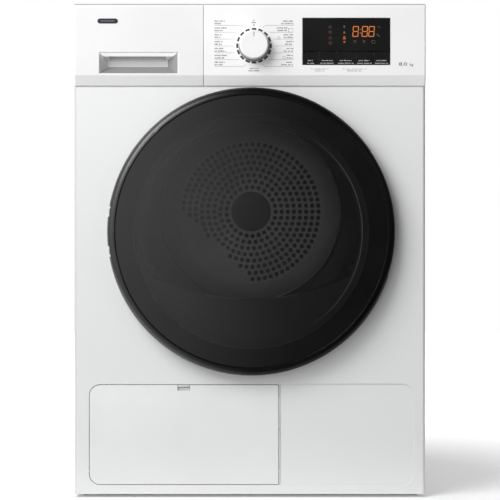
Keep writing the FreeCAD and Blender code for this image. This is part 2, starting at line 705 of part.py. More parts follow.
def drum_air_grille():
    """Thin disc with rings of round holes, plain beyond a chord at the lower left."""
    front_y = DRUM_REAR_Y - 13.0
    thick = 1.4
    middle = vec(AXIS_X, front_y, DRUM_Z)
    wires = [Part.Wire(Part.makeCircle(GRILLE_R, middle, BACK)), Part.Wire(Part.makeCircle(HUB_R - 6, middle, BACK))]
    for ring in range(HOLE_RINGS):
        r = HOLE_FIRST_R + ring * HOLE_PITCH
        count = round(2 * math.pi * r / HOLE_PITCH)
        for i in range(count):
            a = 2 * math.pi * i / count
            dx = r * math.cos(a)
            dz = r * math.sin(a)
            if -(dx + dz) / math.sqrt(2) < BLANK_CHORD:
                wires.append(Part.Wire(Part.makeCircle(HOLE_R, middle + vec(dx, 0, dz), BACK)))
    return Part.Face(wires, "Part::FaceMakerBullseye").extrude(vec(0, thick, 0))


def drum_hub_cap():
    y = DRUM_REAR_Y - 13.1
    profile = [(0, y - 5), (3, y - 5), (3, y - 4), (28, y - 4), (29, y - 5.5), (34, y - 5.5),
               (HUB_R - 1.8, y - 4.2, VIA), (HUB_R, y - 1.0), (HUB_R, y), (0, y)]
    return spun(profile, AXIS_X, DRUM_Z)


def drum_lifters():
    """Three paddles along the drum, each a rounded ridge."""
    root = DRUM_R - DRUM_SKIN - 2.6
    half_foot = 30.0
    half_top = 9.0
    paddles = []
    for i in range(3):
        sag = root - math.sqrt(root ** 2 - half_foot ** 2)
        profile = [(-half_foot, -root + sag), (-half_foot * 0.5, -root + sag * 0.3), (half_foot * 0.5, -root + sag * 0.3),
                   (half_foot, -root + sag), (half_top, -LIFTER_TOP_R - 5), (half_top * 0.5, -LIFTER_TOP_R),
                   (-half_top * 0.5, -LIFTER_TOP_R), (-half_top, -LIFTER_TOP_R - 5)]
        paddle = prism_y([(AXIS_X + x, DRUM_Z + z) for x, z in profile], -190, 235)
        paddle.rotate(vec(AXIS_X, 0, DRUM_Z), BACK, 120 * i + 60)
        paddles.append(paddle)
    return Part.makeCompound(paddles)


def drum_shaft():
    """Rear stub shaft on a three-armed spider behind the rear wall."""
    y = DRUM_REAR_Y - 9.9
    disc = rod_y(HUB_R - 4, y, y + 4, AXIS_X, DRUM_Z)
    shaft = rod_y(SHAFT_R, y, REAR_Y - 12, AXIS_X, DRUM_Z)
    arms = []
    for i in range(3):
        arm = box(AXIS_X, AXIS_X + 172, y, y + 4, DRUM_Z - 9, DRUM_Z + 9)
        arm.rotate(vec(AXIS_X, 0, DRUM_Z), BACK, 90 + 120 * i)
        arms.append(arm)
    return join(disc, shaft, *arms)


def drum_seals():
    """Felt rings: one on the front seat, one between rear wall and rear bulkhead."""
    front = tube_y(DRUM_R - DRUM_SKIN - 0.4, SEAT_R + 0.1, DRUM_FRONT_Y + 2, DRUM_FRONT_Y + 14, AXIS_X, DRUM_Z)
    rear = tube_y(206, 190, DRUM_REAR_Y + 0.4, REAR_BULKHEAD_Y - 0.05, AXIS_X, DRUM_Z)
    return Part.makeCompound([front, rear])


# ---------------------------------------------------------------- bulkheads and rollers


def roller_centre(side):
    reach = DRUM_R + ROLLER_R + 0.3
    a = math.radians(ROLLER_ANGLE)
    return AXIS_X + side * reach * math.sin(a), DRUM_Z - reach * math.cos(a)


def front_bulkhead():
    """Front drum support: plate, mouth tunnel, round seat, filter well and roller pins."""
    plate_y1 = BULKHEAD_Y + BULKHEAD_PLATE
    plate = box(-290, 290, BULKHEAD_Y, plate_y1, 196, 700)
    flange = rod_y(206, MOUTH_FRONT_Y, MOUTH_FRONT_Y + 4, AXIS_X, DOOR_Z)
    tunnel = mouth(MOUTH_FRONT_Y, MOUTH_REAR_Y, 4.0)
    closure = rod_y(SEAT_R, MOUTH_REAR_Y - 4, MOUTH_REAR_Y, AXIS_X, DRUM_Z)
    seat = tube_y(SEAT_R, SEAT_R - 4, plate_y1 - 1, MOUTH_REAR_Y, AXIS_X, DRUM_Z)
    wall = 3.0
    well = box(FILTER_X0 - 1 - wall, FILTER_X1 + 1 + wall, FILTER_Y0 - 1 - wall, FILTER_Y1 + 1 + wall,
               FILTER_Z0 - 4, DOOR_Z - 60)
    body = plate.multiFuse([flange, tunnel, closure, seat, well])
    for side in (-1, 1):
        x, z = roller_centre(side)
        body = body.fuse(rod_y(ROLLER_PIN_R, plate_y1 - 1, -199, x, z))
    body = body.cut(mouth(MOUTH_FRONT_Y - 5, MOUTH_REAR_Y + 5))
    slot = box(FILTER_X0 - 1, FILTER_X1 + 1, FILTER_Y0 - 1, FILTER_Y1 + 1, FILTER_Z0 - 1, DOOR_Z)
    outlet = box(FILTER_X0 + 10, FILTER_X1 - 10, FILTER_Y0 + 3, FILTER_Y1 - 3, FILTER_Z0 - 10, FILTER_Z0)
    return body.cut(slot).cut(outlet).removeSplitter()


def roller(side):
    x, z = roller_centre(side)
    y0 = -222.0
    y1 = -202.0
    r = ROLLER_R
    profile = [(ROLLER_PIN_R + RUN_FIT, y0), (14, y0), (14, y0 + 5), (r - 7, y0 + 5), (r - 7, y0 + 1), (r - 2, y0),
               (r, y0 + 2), (r, y1 - 2), (r - 2, y1), (r - 7, y1 - 1), (r - 7, y1 - 5), (14, y1 - 5), (14, y1),
               (ROLLER_PIN_R + RUN_FIT, y1)]
    return spun(profile, x, z)


def rear_bulkhead():
    """Inner rear wall: four air windows around the drum bearing, and the duct walls."""
    y0 = REAR_BULKHEAD_Y
    plate = box(-290, 290, y0, y0 + 2, 62, 820)
    air = rod_y(172, y0 - 1, y0 + 3, AXIS_X, DRUM_Z)
    hub = rod_y(26, y0, y0 + 14, AXIS_X, DRUM_Z)
    spokes = [box(AXIS_X - 176, AXIS_X + 176, y0, y0 + 2, DRUM_Z - 12, DRUM_Z + 12),
              box(AXIS_X - 12, AXIS_X + 12, y0, y0 + 2, DRUM_Z - 176, DRUM_Z + 176)]
    duct = duct_outline(y0 + 2, REAR_Y - SHEET - 0.1, 4.0).cut(duct_outline(y0, REAR_Y, 2.0))
    body = plate.cut(air).multiFuse([hub, duct] + spokes)
    return body.cut(rod_y(SHAFT_R + RUN_FIT, y0 - 5, y0 + 20, AXIS_X, DRUM_Z)).removeSplitter()


# ---------------------------------------------------------------- base


def base_tray():
    """Moulded floor with rim, condenser channel, motor cradle, posts and hinge lugs."""
    wall = 3.0
    z0 = BASE_FLOOR_Z
    y0 = -268.0
    y1 = 292.0
    floor = box(-BASE_HALF, BASE_HALF, y0, y1, z0, z0 + 4)
    rim = box(-BASE_HALF, BASE_HALF, y0, y1, SKIRT_Z, 58)
    rim = rim.cut(box(-BASE_HALF + wall, BASE_HALF - wall, y0 + wall, y1 - wall, 0, 60))
    rim = rim.cut(box(FIELD_X0, FLAP_X1 + 4, y0 - 1, y0 + wall + 1, z0 + 11, 60))
    channel = box(CHANNEL_X0, CHANNEL_X1, -252, 72, z0, CHANNEL_TOP)
    channel = channel.cut(box(CHANNEL_X0 + wall, CHANNEL_X1 - wall, -260, 80, CHANNEL_FLOOR, CHANNEL_TOP - wall))
    channel = channel.cut(box(CHANNEL_X0 + wall, CHANNEL_X1 - wall, -260, 80, z0 + 4, CHANNEL_FLOOR - wall))
    pieces = [floor, rim, channel]
    for y in (-42.0, 62.0):
        pieces.append(box(MOTOR_X - 46, MOTOR_X + 46, y, y + 10, z0, MOTOR_Z - 30))
    pieces.append(box(CHANNEL_X1 - 2, ARM_PIVOT_X + 7, -103, -95, z0, ARM_PIVOT_Z + 7))
    pieces.append(rod_y(IDLER_PIN_R, -112, -100, ARM_PIVOT_X, ARM_PIVOT_Z))
    for x in (FIELD_X0 - 9, FLAP_X1 + 2.5):
        pieces.append(box(x, x + 6, FLAP_PIVOT_Y - 2.2, y0 + 1, FLAP_PIVOT_Z - 6, FLAP_PIVOT_Z + 6))
        pieces.append(box(x, x + 6, y0, y0 + wall, z0, FLAP_PIVOT_Z + 6))
    for x in (-FOOT_X, FOOT_X):
        for y in FOOT_Y:
            pieces.append(rod_z(13, z0, z0 + 40, x, y))
    body = pieces[0].multiFuse(pieces[1:])
    body = body.cut(rod_y(MOTOR_R + 0.1, -80, 120, MOTOR_X, MOTOR_Z))
    for x in (-FOOT_X, FOOT_X):
        for y in FOOT_Y:
            body = body.cut(rod_z(FOOT_STEM_R + RUN_FIT, 0, z0 + 60, x, y))
    body = body.cut(rod_x(FLAP_PIN_R + RUN_FIT, -BASE_HALF - 1, FLAP_X1 + 20, FLAP_PIVOT_Y, FLAP_PIVOT_Z))
    return body.removeSplitter()


def foot(x, y):
    """Levelling foot: rubber-shod pad on a threaded stem."""
    pad = Part.makeCone(FOOT_R, FOOT_R - 2, 7.6, vec(x, y, 0), UP)
    return join(pad, rod_z(FOOT_STEM_R, 7, 44, x, y))


def service_flap():
    """Flush flap with rounded left corners, two hinge arms at its foot and a latch notch."""
    back = FRONT_Y + 2.1
    plate = slab(FIELD_X0, FLAP_X1, FIELD_Z0, FIELD_Z1, FRONT_Y - 0.4, back, FIELD_R, 2.0)
    ease = prism_x([(FRONT_Y - 1, FIELD_Z0 - 1), (FRONT_Y + 1.2, FIELD_Z0 - 1), (FRONT_Y - 1, FIELD_Z0 + 1.2)],
                   FIELD_X0 - 1, FLAP_X1 + 1)
    body = plate.cut(ease)
    for arm_x, pin_x in ((FIELD_X0 + 0.5, FIELD_X0 - 8), (FLAP_X1 - 6, FLAP_X1 - 1)):
        arm = box(arm_x, arm_x + 5.5, back - 0.1, FLAP_PIVOT_Y + 3, FLAP_PIVOT_Z - 3.5, FLAP_PIVOT_Z + 3.5)
        pin = rod_x(FLAP_PIN_R, pin_x, pin_x + 9, FLAP_PIVOT_Y, FLAP_PIVOT_Z)
        body = body.fuse(arm).fuse(pin)
    rail = box(FIELD_X0 + 22, FLAP_X1 - 8, back - 0.1, back + 5, FIELD_Z1 - 26, FIELD_Z1 - 23.5)
    notch = box(LATCH_X - LATCH_HALF - 0.4, LATCH_X + LATCH_HALF + 0.4, FRONT_Y - 2, back + 1,
                FIELD_Z1 - LATCH_DROP - LATCH_TRAVEL - 0.3, FIELD_Z1 + 1)
    return body.fuse(rail).cut(notch).removeSplitter()


def flap_latch():
    """Finger tab at the top edge of the flap; it slides down in its notch."""
    z1 = FIELD_Z1 - 0.1
    tab = box(LATCH_X - LATCH_HALF, LATCH_X + LATCH_HALF, FRONT_Y - 0.6, FRONT_Y + 2.5, FIELD_Z1 - LATCH_DROP, z1)
    guide = box(LATCH_X - LATCH_HALF - 4, LATCH_X + LATCH_HALF + 4, FRONT_Y + 2.5, FRONT_Y + 4.5,
                FIELD_Z1 - LATCH_DROP - 9.5, z1)
    lip = box(LATCH_X - LATCH_HALF + 2, LATCH_X + LATCH_HALF - 2, FRONT_Y - 1.6, FRONT_Y, z1 - 2.5, z1 - 1)
    return join(tab, guide, lip)


# ---------------------------------------------------------------- condensing unit


def condenser():
    """Heat exchanger: front plate, solid end frame and a stack of flat air passages."""
    pitch = 10.0
    thick = 1.5
    front = box(CORE_X0, CORE_X1, -266.4, -258.5, CORE_Z0, CORE_Z1)
    pieces = [box(CORE_X0, CORE_X0 + 8, -259, 60, CORE_Z0, CORE_Z1),
              box(CORE_X1 - 8, CORE_X1, -259, 60, CORE_Z0, CORE_Z1)]
    shelves = int((CORE_Z1 - CORE_Z0 - thick) / pitch) + 1
    for i in range(shelves):
        z = CORE_Z0 + i * pitch
        pieces.append(box(CORE_X0, CORE_X1, -259, 60, z, z + thick))
    body = front.multiFuse(pieces)
    for x in LEVER_X:
        body = body.cut(rod_y(LEVER_PIN_R + RUN_FIT, -270, -261, x, LEVER_Z))
    return body.removeSplitter()


def lever(x):
    """Turn lever that locks the condenser in its channel; upright when locked."""
    pin = rod_y(LEVER_PIN_R, -267.5, -262, x, LEVER_Z)
    boss = rod_y(9, -272, -267, x, LEVER_Z)
    bar = box(x - 6, x + 6, -272, -267, LEVER_Z - 9, LEVER_Z + 34)
    tip = rod_y(6, -272, -267, x, LEVER_Z + 34)
    return join(pin, boss, bar, tip)


def water_pump():
    x = -150.0
    y = 190.0
    body = rod_z(34, BASE_FLOOR_Z + 4.05, 62, x, y)
    head = rod_z(22, 62, 96, x, y)
    spout = rod_x(7, x, x + 60, y, 50)
    return join(body, head, spout)


# ---------------------------------------------------------------- drive and air

def motor_housing():
    can = tube_y(MOTOR_R, MOTOR_R - 4, -60, 80, MOTOR_X, MOTOR_Z)
    ends = []
    for y in (-60.0, 76.0):
        ends.append(tube_y(MOTOR_R, MOTOR_SHAFT_R + RUN_FIT, y, y + 4, MOTOR_X, MOTOR_Z))
    noses = []
    for y in (-70.0, 80.0):
        noses.append(tube_y(16, MOTOR_SHAFT_R + RUN_FIT, y, y + 10, MOTOR_X, MOTOR_Z))
    stator = tube_y(MOTOR_R - 3.9, 34, -40, 56, MOTOR_X, MOTOR_Z)
    return join(can, stator, *ends, *noses)


def motor_shaft():
    """Rotor, shaft and belt pulley."""
    shaft = rod_y(MOTOR_SHAFT_R, BELT_Y - 12, 158, MOTOR_X, MOTOR_Z)
    rotor = rod_y(32, -38, 54, MOTOR_X, MOTOR_Z)
    flanges = [rod_y(9, y, y + 3, MOTOR_X, MOTOR_Z) for y in (BELT_Y - 9.5, BELT_Y + 6.5)]
    return join(shaft, rotor, *flanges)


def process_fan():
    """Radial fan wheel: back plate, hub and straight blades."""
    y0 = 110.0
    y1 = 152.0
    r = 74.0
    hub = rod_y(14, y0, y1, MOTOR_X, MOTOR_Z)
    plate = rod_y(r, y0, y0 + 3, MOTOR_X, MOTOR_Z)
    blades = []
    count = 12
    for i in range(count):
        blade = box(MOTOR_X + 13, MOTOR_X + r - 1, y0 + 2, y1, MOTOR_Z - 1, MOTOR_Z + 1)
        blade.rotate(vec(MOTOR_X, 0, MOTOR_Z), BACK, 360 / count * i)
        blades.append(blade)
    return join(hub, plate, *blades).cut(rod_y(MOTOR_SHAFT_R, y0 - 1, y1 + 1, MOTOR_X, MOTOR_Z))


def fan_housing():
    """Scroll with an inlet eye at the rear and an upward outlet."""
    y0 = 103.0
    y1 = 159.0
    wall = 3.0
    r = 86.0
    drum_side = box(MOTOR_X - r, MOTOR_X - r + 66, y0, y1, MOTOR_Z, 205)
    body = rod_y(r, y0, y1, MOTOR_X, MOTOR_Z).fuse(drum_side)
    hollow = rod_y(r - wall, y0 + wall, y1 - wall, MOTOR_X, MOTOR_Z)
    hollow = hollow.fuse(box(MOTOR_X - r + wall, MOTOR_X - r + 66 - wall, y0 + wall, y1 - wall, MOTOR_Z, 210))
    eye = rod_y(40, y1 - 10, y1 + 5, MOTOR_X, MOTOR_Z)
    bore = rod_y(MOTOR_SHAFT_R + 1, y0 - 5, y0 + 5, MOTOR_X, MOTOR_Z)
    return body.cut(hollow).cut(eye).cut(bore).removeSplitter()


def heater():
    """Heating element: a frame with horizontal rods, in the duct below the drum inlet."""
    x0 = AXIS_X - 110
    x1 = AXIS_X + 110
    frame = box(x0, x1, 274, 294, 130, 190)
    frame = frame.cut(box(x0 + 5, x1 - 5, 270, 298, 135, 185))
    rods = [rod_x(3.5, x0 + 4, x1 - 4, 284, z) for z in (145.0, 160.0, 175.0)]
    return join(frame, *rods)


def tangent_side(a, b):
    """Unit normal of the outer tangent that leaves circle a for circle b, clockwise from the front."""
    ax, az, ar = a
    bx, bz, br = b
    dx = bx - ax
    dz = bz - az
    d = math.hypot(dx, dz)
    along = math.atan2(dz, dx)
    turn = math.acos((ar - br) / d)
    return math.cos(along - turn), math.sin(along - turn)


def belt_loop(extra):
    """Outline of a tight belt around drum, motor pulley and idler, grown outwards by extra."""
    drum = (AXIS_X, DRUM_Z, DRUM_R + 0.3 + extra)
    pulley = (MOTOR_X, MOTOR_Z, MOTOR_SHAFT_R + 0.3 + extra)
    idler = (IDLER_X, IDLER_Z, IDLER_R + 0.3 + extra)
    circles = [drum, idler, pulley]
    normals = [tangent_side(circles[i], circles[(i + 1) % 3]) for i in range(3)]
    y = BELT_Y - BELT_HALF
    edges = []
    for i in range(3):
        x, z, r = circles[i]
        came = normals[i - 1]
        goes = normals[i]
        start = vec(x + r * came[0], y, z + r * came[1])
        end = vec(x + r * goes[0], y, z + r * goes[1])
        a0 = math.atan2(came[1], came[0])
        a1 = math.atan2(goes[1], goes[0])
        while a1 < a0:
            a1 += 2 * math.pi
        middle = (a0 + a1) / 2
        via = vec(x + r * math.cos(middle), y, z + r * math.sin(middle))
        edges.append(Part.Arc(start, via, end).toShape())
        nx, nz, nr = circles[(i + 1) % 3]
        edges.append(Part.LineSegment(end, vec(nx + nr * goes[0], y, nz + nr * goes[1])).toShape())
    return Part.Face(Part.Wire(edges))


def drive_belt():
    outer = belt_loop(BELT_THICK).extrude(vec(0, 2 * BELT_HALF, 0))
    inner = belt_loop(0.0).extrude(vec(0, 2 * BELT_HALF, 0))
    return outer.cut(inner)


def idler_arm():
    y0 = -111.0
    y1 = -107.0
    bar = box(0, math.hypot(IDLER_X - ARM_PIVOT_X, IDLER_Z - ARM_PIVOT_Z), y0, y1, -9, 9)
    slope = math.degrees(math.atan2(IDLER_Z - ARM_PIVOT_Z, IDLER_X - ARM_PIVOT_X))
    bar.rotate(vec(0, 0, 0), BACK, -slope)
    bar.translate(vec(ARM_PIVOT_X, 0, ARM_PIVOT_Z))
    ends = [rod_y(9, y0, y1, ARM_PIVOT_X, ARM_PIVOT_Z), rod_y(9, y0, y1, IDLER_X, IDLER_Z)]
    axle = rod_y(IDLER_PIN_R, BELT_Y - 8, y0, IDLER_X, IDLER_Z)
    body = join(bar, axle, *ends)
    return body.cut(rod_y(IDLER_PIN_R + RUN_FIT, y0 - 1, y1 + 1, ARM_PIVOT_X, ARM_PIVOT_Z))


def idler_pulley():
    return tube_y(IDLER_R, IDLER_PIN_R + RUN_FIT, BELT_Y - 6, BELT_Y + 6, IDLER_X, IDLER_Z)


# ---------------------------------------------------------------- lint filter and sensors

def lint_filter():
    """Hollow filter leaf in the lip; its slotted top follows the lip."""
    wall = 1.6
    block = box(FILTER_X0, FILTER_X1, FILTER_Y0, FILTER_Y1, FILTER_Z0, DOOR_Z - 60)
    above = mouth(FILTER_Y0 - 1, FILTER_Y1 + 1)
    body = block.cut(above)
    hollow = box(FILTER_X0 + wall, FILTER_X1 - wall, FILTER_Y0 + wall, FILTER_Y1 - wall, FILTER_Z0 + wall, DOOR_Z)
    hollow = hollow.cut(mouth(FILTER_Y0, FILTER_Y1, wall))
    body = body.cut(hollow)
    count = 8
    pitch = (FILTER_X1 - FILTER_X0 - 20) / count
    for i in range(count):
        x = FILTER_X0 + 10 + pitch * (i + 0.5)
        body = body.cut(box(x - 7.5, x + 7.5, FILTER_Y0 + 5, FILTER_Y1 - 5, LIP_LOW_Z - 20, DOOR_Z))
    return body.removeSplitter()


def moisture_sensors():
    """Two bent steel strips on the lip in front of the filter."""
    strips = []
    for side in (-1, 1):
        x = AXIS_X + side * 52
        blank = box(x - 30, x + 30, -269, -258, LIP_LOW_Z - 10, DOOR_Z - 60)
        top = mouth(-270, -250, -0.1).cut(mouth(-271, -249, -1.6))
        strips.append(blank.common(top))
    return Part.makeCompound(strips)


# ---------------------------------------------------------------- build

def build():
    save("base_tray", base_tray())
    save("left_side_panel", side_panel(-1))
    save("right_side_panel", side_panel(1))
    save("front_panel", front_panel())
    save("rear_panel", rear_panel())
    save("rear_duct_cover", rear_duct_cover())
    save("top_panel", top_panel())
    save("cord_inlet", cord_inlet())
    save("panel_screws", panel_screws())
    save("control_panel", control_panel())
    save("display_window", display_window())
    for index in range(len(KEY_EDGES_X) - 1):
        save("key_" + str(index + 1), key(index))
    save("programme_knob", programme_knob())
    save("tank_housing", tank_housing())
    save("water_tank", water_tank())
    save("tank_front", tank_front())
    save("door_ring", door_ring())
    save("door_lens", door_lens())
    save("door_frame", door_frame())
    save("door_bowl", door_bowl())
    save("door_gasket", door_gasket())
    save("door_hook", door_hook())
    save("door_hinge", door_hinge())
    save("hinge_bracket", hinge_bracket())
    save("door_catch", door_catch())
    save("drum_shell", drum_shell())
    save("drum_rear_wall", drum_rear_wall())
    save("drum_air_grille", drum_air_grille())
    save("drum_hub_cap", drum_hub_cap())
    save("drum_lifters", drum_lifters())
    save("drum_shaft", drum_shaft())
    save("drum_seals", drum_seals())
    save("front_bulkhead", front_bulkhead())
    save("rear_bulkhead", rear_bulkhead())
    save("left_roller", roller(-1))
    save("right_roller", roller(1))
    for name, x, y in (("front_left_foot", -FOOT_X, FOOT_Y[0]), ("front_right_foot", FOOT_X, FOOT_Y[0]),
                       ("rear_left_foot", -FOOT_X, FOOT_Y[1]), ("rear_right_foot", FOOT_X, FOOT_Y[1])):
        save(name, foot(x, y))
    save("service_flap", service_flap())
    save("flap_latch", flap_latch())
    save("condenser", condenser())
    save("left_lever", lever(LEVER_X[0]))
    save("right_lever", lever(LEVER_X[1]))
    save("water_pump", water_pump())
    save("motor_housing", motor_housing())
    save("motor_shaft", motor_shaft())
    save("process_fan", process_fan())
    save("fan_housing", fan_housing())
    save("heater", heater())
    save("drive_belt", drive_belt())
    save("idler_arm", idler_arm())
    save("idler_pulley", idler_pulley())
    save("lint_filter", lint_filter())
    save("moisture_sensors", moisture_sensors())


os.makedirs("parts", exist_ok=True)
build()
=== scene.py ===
import math
import random

import bmesh
import bpy
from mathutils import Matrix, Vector


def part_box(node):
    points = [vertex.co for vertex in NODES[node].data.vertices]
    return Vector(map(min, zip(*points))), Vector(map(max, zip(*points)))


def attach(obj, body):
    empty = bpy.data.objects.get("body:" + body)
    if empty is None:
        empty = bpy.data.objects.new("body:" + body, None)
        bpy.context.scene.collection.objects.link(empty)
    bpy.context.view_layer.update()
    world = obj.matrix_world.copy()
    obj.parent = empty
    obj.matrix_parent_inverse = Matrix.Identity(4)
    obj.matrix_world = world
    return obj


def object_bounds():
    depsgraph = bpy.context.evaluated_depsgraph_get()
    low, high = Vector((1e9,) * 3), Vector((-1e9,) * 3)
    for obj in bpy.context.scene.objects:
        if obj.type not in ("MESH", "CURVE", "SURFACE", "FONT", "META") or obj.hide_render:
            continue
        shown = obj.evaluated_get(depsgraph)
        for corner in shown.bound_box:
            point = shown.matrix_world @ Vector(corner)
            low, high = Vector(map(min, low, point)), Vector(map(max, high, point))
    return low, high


# Condenser clothes dryer. Metres, +Z up, front facing -Y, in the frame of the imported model.

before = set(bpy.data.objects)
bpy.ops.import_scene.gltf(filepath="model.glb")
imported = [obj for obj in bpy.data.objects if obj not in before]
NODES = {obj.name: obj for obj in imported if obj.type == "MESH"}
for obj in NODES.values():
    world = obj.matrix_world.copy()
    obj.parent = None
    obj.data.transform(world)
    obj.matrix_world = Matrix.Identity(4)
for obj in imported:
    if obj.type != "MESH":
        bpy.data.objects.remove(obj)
CAD_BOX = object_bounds()


def limits(node):
    """Lowest and highest corner of a node at rest, as two vectors."""
    low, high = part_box(node)
    return Vector(low), Vector(high)


KNOB_LOW, KNOB_HIGH = limits("programme_knob")
KNOB_X = (KNOB_LOW.x + KNOB_HIGH.x) / 2
KNOB_Z = (KNOB_LOW.z + KNOB_HIGH.z) / 2
KNOB_R = (KNOB_HIGH.x - KNOB_LOW.x) / 2
LENS_LOW, LENS_HIGH = limits("door_lens")
DOOR_X = (LENS_LOW.x + LENS_HIGH.x) / 2
DOOR_Z = (LENS_LOW.z + LENS_HIGH.z) / 2
HUB_LOW, HUB_HIGH = limits("drum_hub_cap")
DRUM_X = (HUB_LOW.x + HUB_HIGH.x) / 2
DRUM_Z = (HUB_LOW.z + HUB_HIGH.z) / 2
HOLES_R = 0.140                             # reach of the holes in the air grille
STEP_R = 0.182                              # the raised plate of the drum's rear wall ends here
WINDOW_LOW = limits("display_window")[0]
TANK_LOW, TANK_HIGH = limits("tank_front")
FACE_Y = TANK_LOW.y                         # flat face of the control row
PANEL_RIGHT = limits("control_panel")[1].x
SHEET_Y = limits("front_panel")[0].y

INK_PROUD = 0.00008                         # a printed mark stands this proud of its face
INK_SUNK = 0.00006                          # and reaches this far into it


# ---------------------------------------------------------------- materials

class Look:
    """A Principled material with helpers for the noise that drives its colour, roughness and relief."""

    def __init__(self, name):
        self.material = bpy.data.materials.new(name)
        self.material.use_nodes = True
        self.tree = self.material.node_tree
        self.shader = self.tree.nodes["Principled BSDF"]
        self.place = self.add("ShaderNodeTexCoord").outputs["Object"]
        self.normal = None

    def add(self, kind, **settings):
        node = self.tree.nodes.new(kind)
        for key, value in settings.items():
            setattr(node, key, value)
        return node

    def join(self, source, target):
        self.tree.links.new(source, target)

    def stretched(self, scale):
        node = self.add("ShaderNodeMapping")
        node.inputs["Scale"].default_value = scale
        self.join(self.place, node.inputs["Vector"])
        return node.outputs["Vector"]

    def noise(self, scale, detail=2.0, rough=0.5, vector=None):
        node = self.add("ShaderNodeTexNoise")
        node.inputs["Scale"].default_value = scale
        node.inputs["Detail"].default_value = detail
        node.inputs["Roughness"].default_value = rough
        self.join(vector or self.place, node.inputs["Vector"])
        return node.outputs["Fac"]

    def cells(self, scale):
        node = self.add("ShaderNodeTexVoronoi")
        node.inputs["Scale"].default_value = scale
        self.join(self.place, node.inputs["Vector"])
        return node.outputs["Distance"]

    def spread(self, source, low, high, start=0.3, end=0.7):
        """Runs from low to high while the source runs from start to end, and holds beyond them."""
        node = self.add("ShaderNodeMapRange")
        node.inputs["From Min"].default_value = start
        node.inputs["From Max"].default_value = end
        node.inputs["To Min"].default_value = low
        node.inputs["To Max"].default_value = high
        self.join(source, node.inputs["Value"])
        return node.outputs["Result"]

    def shade(self, source, dark, light, start=0.3, end=0.7):
        """The same between two colours."""
        node = self.add("ShaderNodeValToRGB")
        node.color_ramp.elements[0].position = start
        node.color_ramp.elements[0].color = (*dark, 1.0)
        node.color_ramp.elements[1].position = end
        node.color_ramp.elements[1].color = (*light, 1.0)
        self.join(source, node.inputs["Fac"])
        return node.outputs["Color"]

    def math(self, operation, first, second):
        """Arithmetic; first and second are output sockets or numbers."""
        node = self.add("ShaderNodeMath", operation=operation)
        for socket, value in zip(node.inputs, (first, second)):
            if isinstance(value, (int, float)):
                socket.default_value = value
            else:
                self.join(value, socket)
        return node.outputs["Value"]

    def mixed(self, factor, first, second):
        """Colour mix; first and second are output sockets or plain colours."""
        node = self.add("ShaderNodeMix", data_type="RGBA")
        self.join(factor, node.inputs["Factor"])
        for socket, value in ((node.inputs[6], first), (node.inputs[7], second)):
            if isinstance(value, tuple):
                socket.default_value = (*value, 1.0)
            else:
                self.join(value, socket)
        return node.outputs[2]

    def relief(self, height, depth):
        """Bump by a height field; several calls pile up."""
        node = self.add("ShaderNodeBump")
        node.inputs["Distance"].default_value = depth
        node.inputs["Strength"].default_value = 1.0
        self.join(height, node.inputs["Height"])
        if self.normal is not None:
            self.join(self.normal, node.inputs["Normal"])
        self.normal = node.outputs["Normal"]

    def eased_edges(self, radius):
        """Softens sharp edges, and returns how near a point is to one, from 0 to 1."""
        bevel = self.add("ShaderNodeBevel", samples=4)
        bevel.inputs["Radius"].default_value = radius
        self.normal = bevel.outputs["Normal"]
        dot = self.add("ShaderNodeVectorMath", operation="DOT_PRODUCT")
        self.join(bevel.outputs["Normal"], dot.inputs[0])
        self.join(self.add("ShaderNodeNewGeometry").outputs["Normal"], dot.inputs[1])
        return self.spread(dot.outputs["Value"], 1.0, 0.0, 0.75, 0.995)

    def from_axis(self, x, z):
        """Distance from a line along Y through (x, z)."""
        away = self.add("ShaderNodeVectorMath", operation="SUBTRACT")
        self.join(self.place, away.inputs[0])
        away.inputs[1].default_value = (x, 0.0, z)
        flat = self.add("ShaderNodeVectorMath", operation="MULTIPLY")
        self.join(away.outputs["Vector"], flat.inputs[0])
        flat.inputs[1].default_value = (1.0, 0.0, 1.0)
        length = self.add("ShaderNodeVectorMath", operation="LENGTH")
        self.join(flat.outputs["Vector"], length.inputs[0])
        return length.outputs["Value"]

    def axis_part(self, axis, of_normal=False):
        """One coordinate of the place, or of the surface normal."""
        split = self.add("ShaderNodeSeparateXYZ")
        source = self.add("ShaderNodeNewGeometry").outputs["Normal"] if of_normal else self.place
        self.join(source, split.inputs["Vector"])
        return split.outputs[axis]

    def colour(self, source):
        self.join(source, self.shader.inputs["Base Color"])

    def roughness(self, source):
        self.join(source, self.shader.inputs["Roughness"])

    def set(self, **values):
        for key, value in values.items():
            self.shader.inputs[key.replace("_", " ")].default_value = value

    def done(self):
        if self.normal is not None:
            self.join(self.normal, self.shader.inputs["Normal"])
        return self.material


def scaled(colour, factor):
    return tuple(min(1.0, channel * factor) for channel in colour)


def shaded_foot(look, tone, colour, share):
    """Painted shade: greys a colour gently over the lowest part of the machine."""
    low = look.spread(look.axis_part("Z"), 1.0, 0.0, 0.0, FOOT_SHADE_TOP)
    return look.mixed(low, tone, scaled(colour, share))


def shaded_top_edge(look, tone, share):
    """Painted shade: greys the rounding at the top edge of the control row."""
    high = look.spread(look.axis_part("Z"), 0.0, share, TANK_HIGH.z - 0.0030, TANK_HIGH.z - 0.0022)
    rounding = look.spread(look.axis_part("Z", of_normal=True), 1.0, 0.0, 0.96, 0.99)
    return look.mixed(look.math("MULTIPLY", high, rounding), tone, TOP_EDGE_PAINTED_SHADE)


